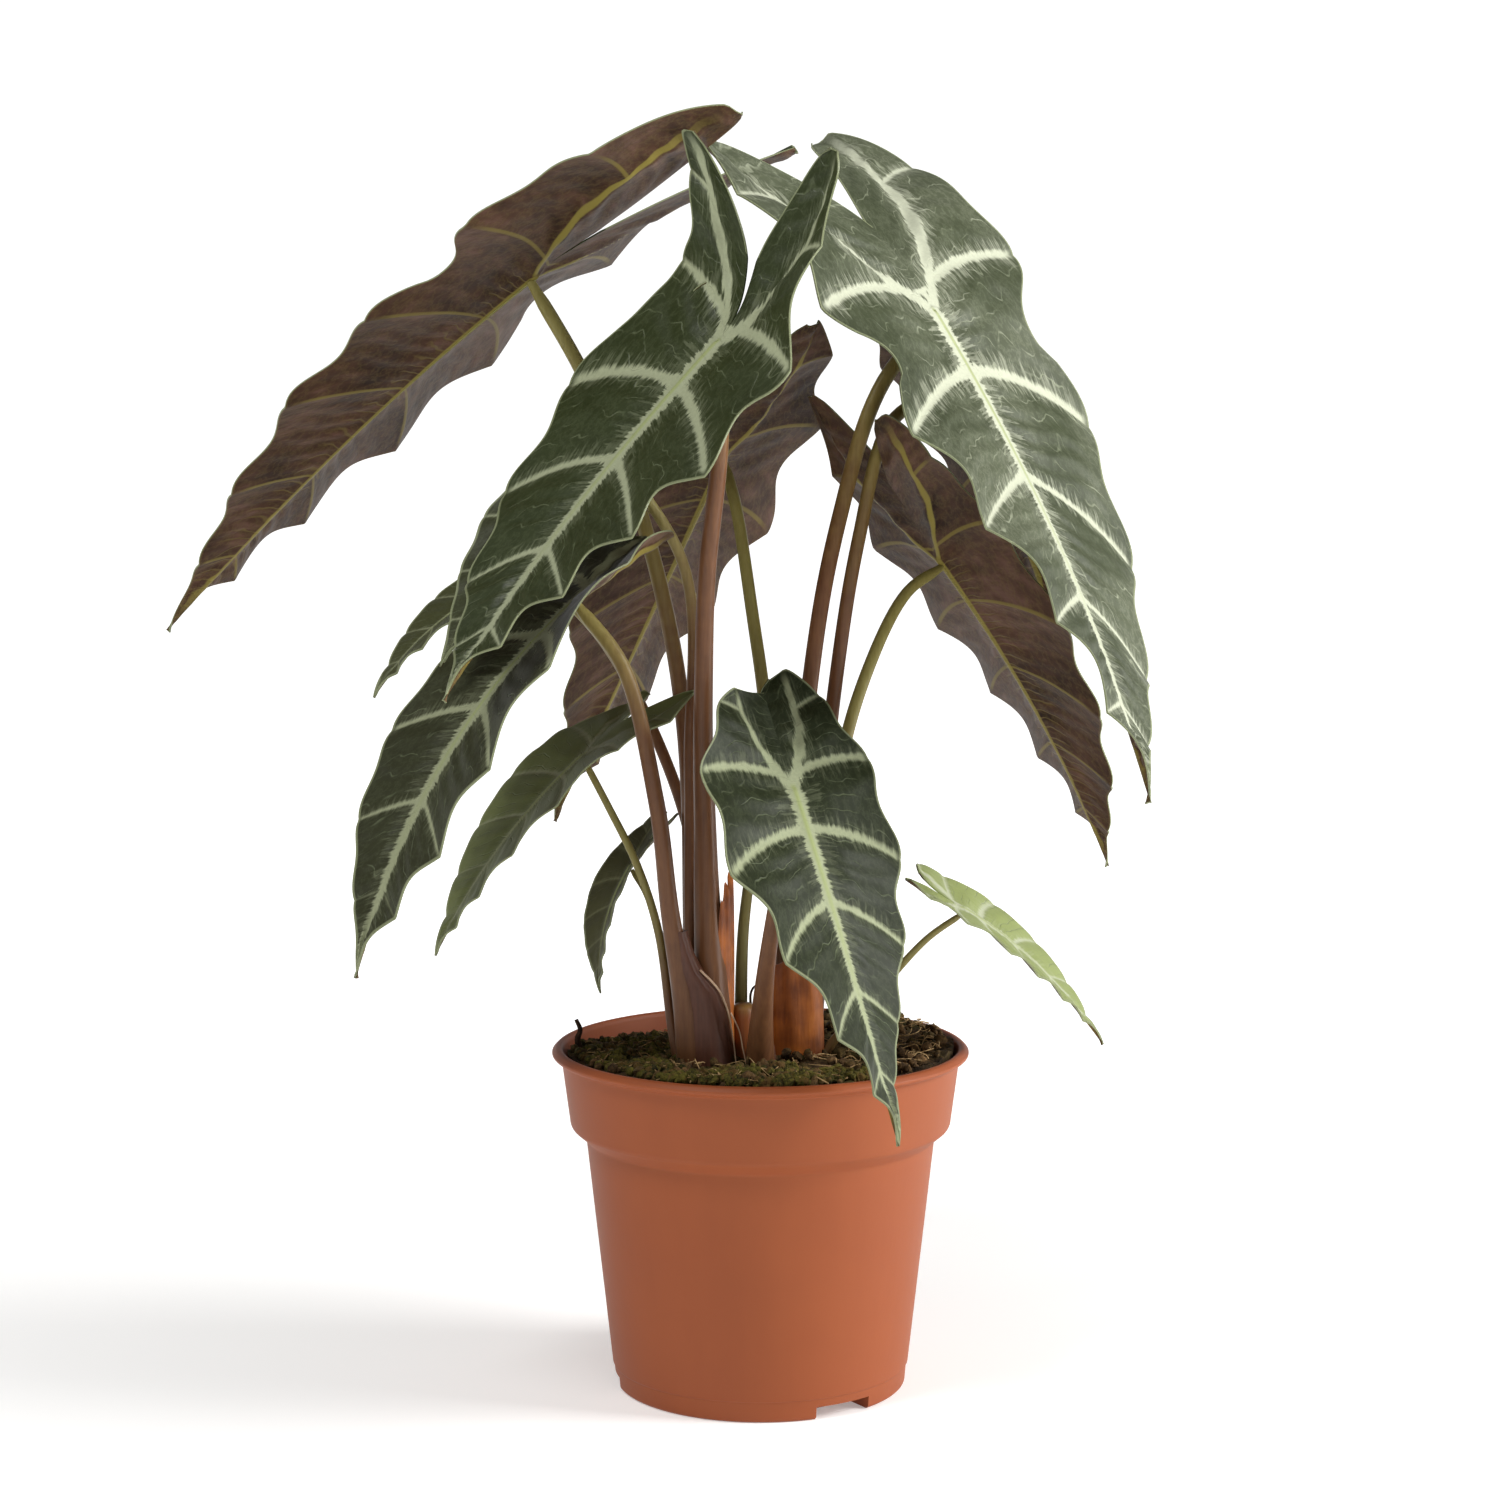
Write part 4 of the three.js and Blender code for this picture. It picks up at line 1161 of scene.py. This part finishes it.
pot_piece = turned(rounded(POT_SECTION, 0.8), 200)
for operation, block in (("UNION", DRAIN_ROOF), ("DIFFERENCE", DRAIN_POCKET)):
    for angle in DRAIN_ANGLES:
        cut(pot_piece, drain_block(angle, **block), operation)
keep(pot_piece, "nursery_pot", "pot", pot_finish(), 32)
print("pot faces:", len(pot_piece.data.polygons))

# %% [markdown]
# ## Soil
# Old peat with crumbs and fibres, filled nearly to the rim and sunk at the back left. Noise of three
# sizes lifts the top. The body goes down to just above the drain pockets, and it isn't hollow.

# %% Soil body
SOIL_RADIUS = 56.0
SOIL_LEVEL = 97.4
SOIL_DIP = 5.0
SOIL_RISE = 2.2


def soil_height(x, y):
    share = np.hypot(x, y) / SOIL_RADIUS
    dip = SOIL_DIP * rise((0.8 * y - 0.6 * x) / SOIL_RADIUS, 0.5, 0.95)
    bank = SOIL_RISE * rise((0.9 * x + 0.4 * y) / SOIL_RADIUS, 0.3, 0.9)
    waves = np.sin(x * 0.21 + 1.3) * np.cos(y * 0.17 - 0.4) + 0.6 * np.sin(x * 0.43 - y * 0.37)
    return SOIL_LEVEL - dip + bank + 0.8 * waves * (1 - rise(share, 0.75, 1))


def soil_finish(name, dark, light, grey, mossy=0.0):
    r = Recipe(name)
    place = r.place()
    coarse = r.noise(place, 170.0, 4.0, 0.7)
    fine = r.noise(place, 900.0, 3.0, 0.7)
    green = r.rise(r.noise(place, 60.0, 3.0), 0.42, 0.6)
    body = r.mix(dark, light, r.rise(coarse * 0.5 + fine * 0.5, 0.35, 0.7))
    body = r.mix(body, r.mix((22, 20, 8), (86, 78, 32), fine), green * mossy)
    body = r.mix(body, grey, r.rise(fine, 0.62, 0.8) * 0.6)
    return r.finish(body, 0.95, 0.2, fine * 0.6 + coarse * 0.4, 0.8)


peat = soil_finish("peat", (30, 22, 13), (92, 70, 42), (140, 114, 80), mossy=0.8)
SOIL_RINGS = 70
SOIL_SIDES = 360
SOIL_SECTION = ((3, 5.6), (40.4, 5.6), (48.3, 73.6), (53, 77), (54.8, 91))
FLAT_TOP = 91.5
top_radii = [SOIL_RADIUS * (1 - share) + 0.2 * share for share in np.linspace(0.006, 1, SOIL_RINGS)]
section = [*SOIL_SECTION, *((radius, FLAT_TOP) for radius in top_radii)]
soil_piece = turned(np.array(section), SOIL_SIDES)
places = places_of(soil_piece) / MM
on_top = places[:, 2] > FLAT_TOP - 0.3
rough = 1.3 * waves_at(places, 7.0) + 1.0 * waves_at(places, 2.6, 9.0) + 0.5 * waves_at(places, 1.1, 17.0)
lifted = soil_height(places[:, 0], places[:, 1]) + rough
places[:, 2] = np.where(on_top, lifted, places[:, 2])
move_to(soil_piece, places * MM)
keep(soil_piece, "peat", "soil", peat)
print("soil faces:", len(soil_piece.data.polygons))

# %% [markdown]
# ## Crumbs, fibres and perlite
# What makes soil look like soil is what lies loose on it. One small shape is modelled and copied,
# each copy gets its own mesh, a size, a turn and a dent, and the copies are joined to one piece.

# %% Scattered bits
BITS_REACH = (16.0, 54.0)
BITS_EDGE = 53
CRUMBS = 520
PERLITE_GRAINS = 22
FIBRES = 300
FIBRE_STEPS = 4
STRAND_SIDES = 6


def join(pieces):
    clear_selection()
    for piece in pieces:
        piece.select_set(True)
    bpy.context.view_layer.objects.active = pieces[0]
    bpy.ops.object.join()
    return pieces[0]


def copies(template, count):
    made = []
    for _ in range(count):
        copy = template.copy()
        copy.data = template.data.copy()
        bpy.context.collection.objects.link(copy)
        made.append(copy)
    bpy.data.objects.remove(template)
    return made


def spot_on_soil():
    inner, outer = BITS_REACH
    radius = math.sqrt(dice.uniform((inner / outer) ** 2, 1)) * outer
    angle = dice.uniform(0, 2 * math.pi)
    return radius * math.cos(angle), radius * math.sin(angle)


def scatter_lumps(sizes, flatness, spots, sink=0.3):
    clear_selection()
    bpy.ops.mesh.primitive_ico_sphere_add(subdivisions=2, radius=1)
    template = bpy.context.object
    ball = places_of(template)
    made = copies(template, len(spots))
    for piece, (x, y) in zip(made, spots):
        size = dice.uniform(*sizes)
        shape = ball * (1 + 0.45 * waves_at(ball, 0.8, dice.uniform(0, 90)))[:, None]
        turn = np.linalg.qr(dice.normal(size=(3, 3)))[0]
        turn *= np.sign(np.linalg.det(turn))
        shape = shape * [1, dice.uniform(0.6, 1), dice.uniform(*flatness)] @ turn * size
        centre = np.array([x, y, soil_height(x, y) + size * (1 - sink)])
        move_to(piece, (shape + centre) * MM)
    return join(made)


def spots_on_soil(count):
    return [spot_on_soil() for _ in range(count)]


crumbs = scatter_lumps((0.5, 2.0), (0.5, 0.9), spots_on_soil(CRUMBS))
crumb = soil_finish("crumb", (42, 30, 18), (118, 90, 56), (166, 138, 100), mossy=0.5)
keep(crumbs, "peat_crumbs", "soil", crumb, 50)

perlite = scatter_lumps((0.4, 1.0), (0.7, 1.0), spots_on_soil(PERLITE_GRAINS), sink=0.1)
white_grain = soil_finish("perlite", (190, 186, 176), (214, 211, 203), (160, 154, 142))
keep(perlite, "perlite", "soil", white_grain, 50)


def strand(points, radius, rings=12):
    line = even_line(points, 6, rings)
    piece, ring, angle = ringed_cylinder(STRAND_SIDES, rings)
    share = ring / (rings - 1)
    move_to(piece, wrap(line, radius * (1 - 0.5 * share), ring, angle) * MM)
    return piece


def loose_fibre(x, y, length):
    heading = dice.uniform(0, 2 * math.pi)
    points = []
    for _ in range(FIBRE_STEPS):
        z = soil_height(x, y) + dice.uniform(0.5, 2.4)
        points.append((x, y, z))
        heading += dice.uniform(-0.8, 0.8)
        x += math.cos(heading) * length / FIBRE_STEPS
        y += math.sin(heading) * length / FIBRE_STEPS
        if math.hypot(x, y) > BITS_EDGE:
            heading += math.pi
            x, y = x * 0.92, y * 0.92
    return points


fibres = []
for _ in range(FIBRES):
    fibres.append(strand(loose_fibre(*spot_on_soil(), dice.uniform(4, 18)), dice.uniform(0.1, 0.25)))
fibre_piece = join(fibres)
straw = soil_finish("fibre", (138, 108, 70), (206, 174, 124), (228, 204, 162))
keep(fibre_piece, "peat_fibres", "soil", straw)
print("bits on the soil:", CRUMBS + PERLITE_GRAINS + FIBRES)

# %% [markdown]
# ## Moss
# The soil is damp, and moss has grown on it at the left and in front. It is a low cushion made of
# many small tufts, in olive and yellow green.

# %% Moss
MOSS = {
    "moss_left": {"x": -38, "y": -12, "width": 36, "depth": 50, "tufts": 420},
    "moss_front": {"x": 4, "y": -42, "width": 84, "depth": 22, "tufts": 420},
}


def moss_finish():
    r = Recipe("moss")
    place = r.place()
    patch = r.noise(place, 120.0, 3.0)
    fine = r.noise(place, 1200.0, 3.0, 0.7)
    body = r.mix((24, 22, 9), (112, 104, 42), r.rise(patch * 0.45 + fine * 0.55, 0.34, 0.7))
    body = r.mix(body, (98, 72, 40), r.rise(r.noise(place, 300.0, 3.0), 0.52, 0.62) * 0.7)
    return r.finish(body, 0.95, 0.2, fine, 0.7)


moss_material = moss_finish()
for name, cushion in MOSS.items():
    spots = []
    while len(spots) < cushion["tufts"]:
        across, along = dice.uniform(-1, 1, 2)
        spot = cushion["x"] + across * cushion["width"] / 2, cushion["y"] + along * cushion["depth"] / 2
        if across**2 + along**2 < 1 and math.hypot(*spot) < BITS_EDGE:
            spots.append(spot)
    tufts = scatter_lumps((0.5, 1.7), (0.8, 1.2), spots, sink=0.2)
    keep(tufts, f"{name}_tufts", name, moss_material, 50)
print("moss cushions:", ", ".join(MOSS))

# %% [markdown]
# ## Crowns and dry sheaths
# The stalks rise from short thick crowns that are covered with the fibrous bases of old leaves.
# Dry papery sheaths, torn and orange brown, still stand round some of them.

# %% Crown and sheath finish
def fibrous_finish(name, dark, light, pale):
    r = Recipe(name)
    place = r.place()
    streak = r.streaks(0.12, 420.0, 4.0)
    patch = r.noise(place, 90.0, 4.0)
    body = r.mix(dark, light, r.rise(streak * 0.35 + patch * 0.65, 0.3, 0.68))
    body = r.mix(body, pale, r.rise(streak * 0.5 + patch * 0.5, 0.58, 0.75) * 0.5)
    return r.finish(body, 0.42 + streak * 0.2, 0.4, streak, 0.35)


PURPLE_BARK = ((52, 32, 27), (104, 68, 54), (144, 110, 82))
ORANGE_BARK = ((104, 62, 30), (172, 114, 60), (202, 152, 94))
BROWN_BARK = ((62, 36, 26), (120, 76, 52), (150, 112, 78))
CROWNS = {
    "crown_left": {"x": -15.5, "y": -13.5, "width": 8.2, "depth": 9.2, "top": 104, "bark": PURPLE_BARK},
    "crown_right": {"x": 11, "y": -2.5, "width": 7.0, "depth": 8.4, "top": 106, "bark": ORANGE_BARK},
    "crown_front": {"x": 0.2, "y": -19.5, "width": 4.3, "depth": 4.6, "top": 103, "bark": BROWN_BARK},
}
CROWN_FOOT = 84
CROWN_SIDES = 72
CROWN_RINGS = 40
CROWN_RISE = 1.15
CROWN_CLOSE = 0.87
for name, crown in CROWNS.items():
    piece, ring, angle = ringed_cylinder(CROWN_SIDES, CROWN_RINGS)
    share = ring / (CROWN_RINGS - 1)
    height = CROWN_FOOT + (crown["top"] - CROWN_FOOT) * np.minimum(share * CROWN_RISE, 1)
    swell = 0.75 + 0.25 * np.sin(np.pi * np.clip(share * CROWN_RISE, 0, 1))
    close = np.where(share > CROWN_CLOSE, 1 - 0.8 * (share - CROWN_CLOSE) / 0.13, 1)
    ridges = 1 + 0.05 * np.sin(11 * angle + 2 * share) + 0.03 * np.sin(23 * angle)
    radius = swell * close * ridges
    width, depth = crown["width"] * radius, crown["depth"] * radius
    places = upright_rings(crown["x"], crown["y"], width, depth, angle, height)
    places[:, :2] += 0.5 * waves_at(places, 4.0)[:, None] * np.stack([np.cos(angle), np.sin(angle)], 1)
    move_to(piece, places * MM)
    keep(piece, f"{name}_base", name, fibrous_finish(f"{name} fibres", *crown["bark"]))

SHEATHS = {
    "sheath_left": {
        "x": -14.2, "y": -13.5, "foot": 102, "height": 54,
        "radius": 6.6, "facing": -28, "arc": 90, "seed": 3.0,
    },
    "sheath_right": {
        "x": 11, "y": -2.5, "foot": 94, "height": 36,
        "radius": 9.3, "facing": -100, "arc": 120, "seed": 8.0,
    },
}
PAPER = 0.35
papery = fibrous_finish("dry sheath", (104, 50, 14), (192, 108, 40), (216, 154, 84))
for name, sheath in SHEATHS.items():
    clear_selection()
    bpy.ops.mesh.primitive_grid_add(x_subdivisions=40, y_subdivisions=70, size=2)
    piece = bpy.context.object
    grid = places_of(piece)
    across, up = grid[:, 0], (grid[:, 1] + 1) / 2
    tear = 0.85 + 0.15 * waves_at(np.stack([across, 0 * across, 0 * across], 1), 0.6, sheath["seed"])
    up = up * tear
    angle = math.radians(sheath["facing"]) + math.radians(sheath["arc"] / 2) * across * (1 - 0.75 * up**5)
    radius = sheath["radius"] * (1 - 0.12 * up) + 0.5 * np.sin(9 * across + 4 * up) * up
    radius = radius + 0.9 * across**2 * up
    height = sheath["foot"] + sheath["height"] * up
    move_to(piece, upright_rings(sheath["x"], sheath["y"], radius, radius, angle, height) * MM)
    apply_modifier(piece, "SOLIDIFY", thickness=PAPER * MM, offset=0)
    keep(piece, f"{name}_paper", name, papery)
print("crowns and sheaths:", len(CROWNS) + len(SHEATHS))

# %% [markdown]
# The foot of the lowest left stalk is broad: it clasps its neighbours like a sleeve, and its free
# edge has dried to a pale line that runs down to the soil. The sleeve is a ring that travels from
# the soil up the stalk while it narrows. The dried edge and two more strands are tapering tubes.

# %% Clasping foot
SLEEVE = (
    (86, -14.5, 7.2, 8.0), (97, -14.6, 7.5, 8.4), (103, -15, 7.3, 8.0), (112, -16, 6.8, 7.0),
    (118.5, -17.3, 6.1, 6.0), (124.5, -20.2, 3.9, 4.3), (130, -21.9, 3.0, 3.4), (136, -23.2, 2.6, 2.8),
)
SLEEVE_SIDES = 64
SLEEVE_RINGS = 48
SLEEVE_Y = (-16.0, -16.3, -16.8, -17.8, -19.3, -21.7, -23.0, -24.1)
heights = np.linspace(SLEEVE[0][0], SLEEVE[-1][0], SLEEVE_RINGS)
stops = np.array(SLEEVE)
centre_x, half_width, half_depth = (np.interp(heights, stops[:, 0], column) for column in stops[:, 1:].T)
centre_y = np.interp(heights, stops[:, 0], SLEEVE_Y)
sleeve, ring, angle = ringed_cylinder(SLEEVE_SIDES, SLEEVE_RINGS)
ribs = 1 + 0.018 * np.sin(9 * angle + 1.0) + 0.012 * np.sin(17 * angle + ring * 0.05)
width, depth = half_width[ring] * ribs, half_depth[ring] * ribs
move_to(sleeve, upright_rings(centre_x[ring], centre_y[ring], width, depth, angle, heights[ring]) * MM)
mark(sleeve, "stem", [ring * 0.0, np.zeros(len(ring)), heights[ring]])
keep(sleeve, "clasping_foot", "crown_left", stalk_finish("stalk foot", (58, 34, 25), (108, 67, 49)))

EDGE_LINE = (
    (-17, -24.6, 125), (-12, -23.2, 119.4), (-9.2, -20.4, 112.3), (-7.6, -19.4, 103), (-6.8, -20, 96),
)
FIBRE_LINE = ((-8.4, -20.4, 112), (-6, -21.4, 107), (-5, -22, 102), (-3.6, -23, 96))
dried_edge = strand(EDGE_LINE, 0.36, rings=30)
pale_fibre = strand(FIBRE_LINE, 0.26, rings=20)
edge_piece = join([dried_edge, pale_fibre])
edge_finish = fibrous_finish("dried edge", (150, 112, 84), (206, 178, 148), (226, 208, 184))
keep(edge_piece, "dried_edge", "sheath_left", edge_finish)

ROOT_LINE = (
    (-2.6, -9, 110), (-2.8, -9.4, 115.5), (-1.6, -9.6, 117.6), (-0.6, -9.6, 116.2), (-0.7, -9.6, 112),
)
SPLINTER_LINE = ((-51.6, -3, 97), (-52.6, -2.6, 101), (-51.8, -2.2, 103.5), (-53, -2, 106.5))
root = strand(ROOT_LINE, 0.5, rings=24)
splinter = strand(SPLINTER_LINE, 1.2, rings=14)
dark_piece = join([root, splinter])
dark_bark = soil_finish("dark strand", (30, 20, 14), (70, 48, 32), (96, 74, 54))
keep(dark_piece, "dark_strands", "soil", dark_bark)
print("strands:", len((EDGE_LINE, FIBRE_LINE, ROOT_LINE, SPLINTER_LINE)))

# %% [markdown]
# ## The end

# %% End
print("done")
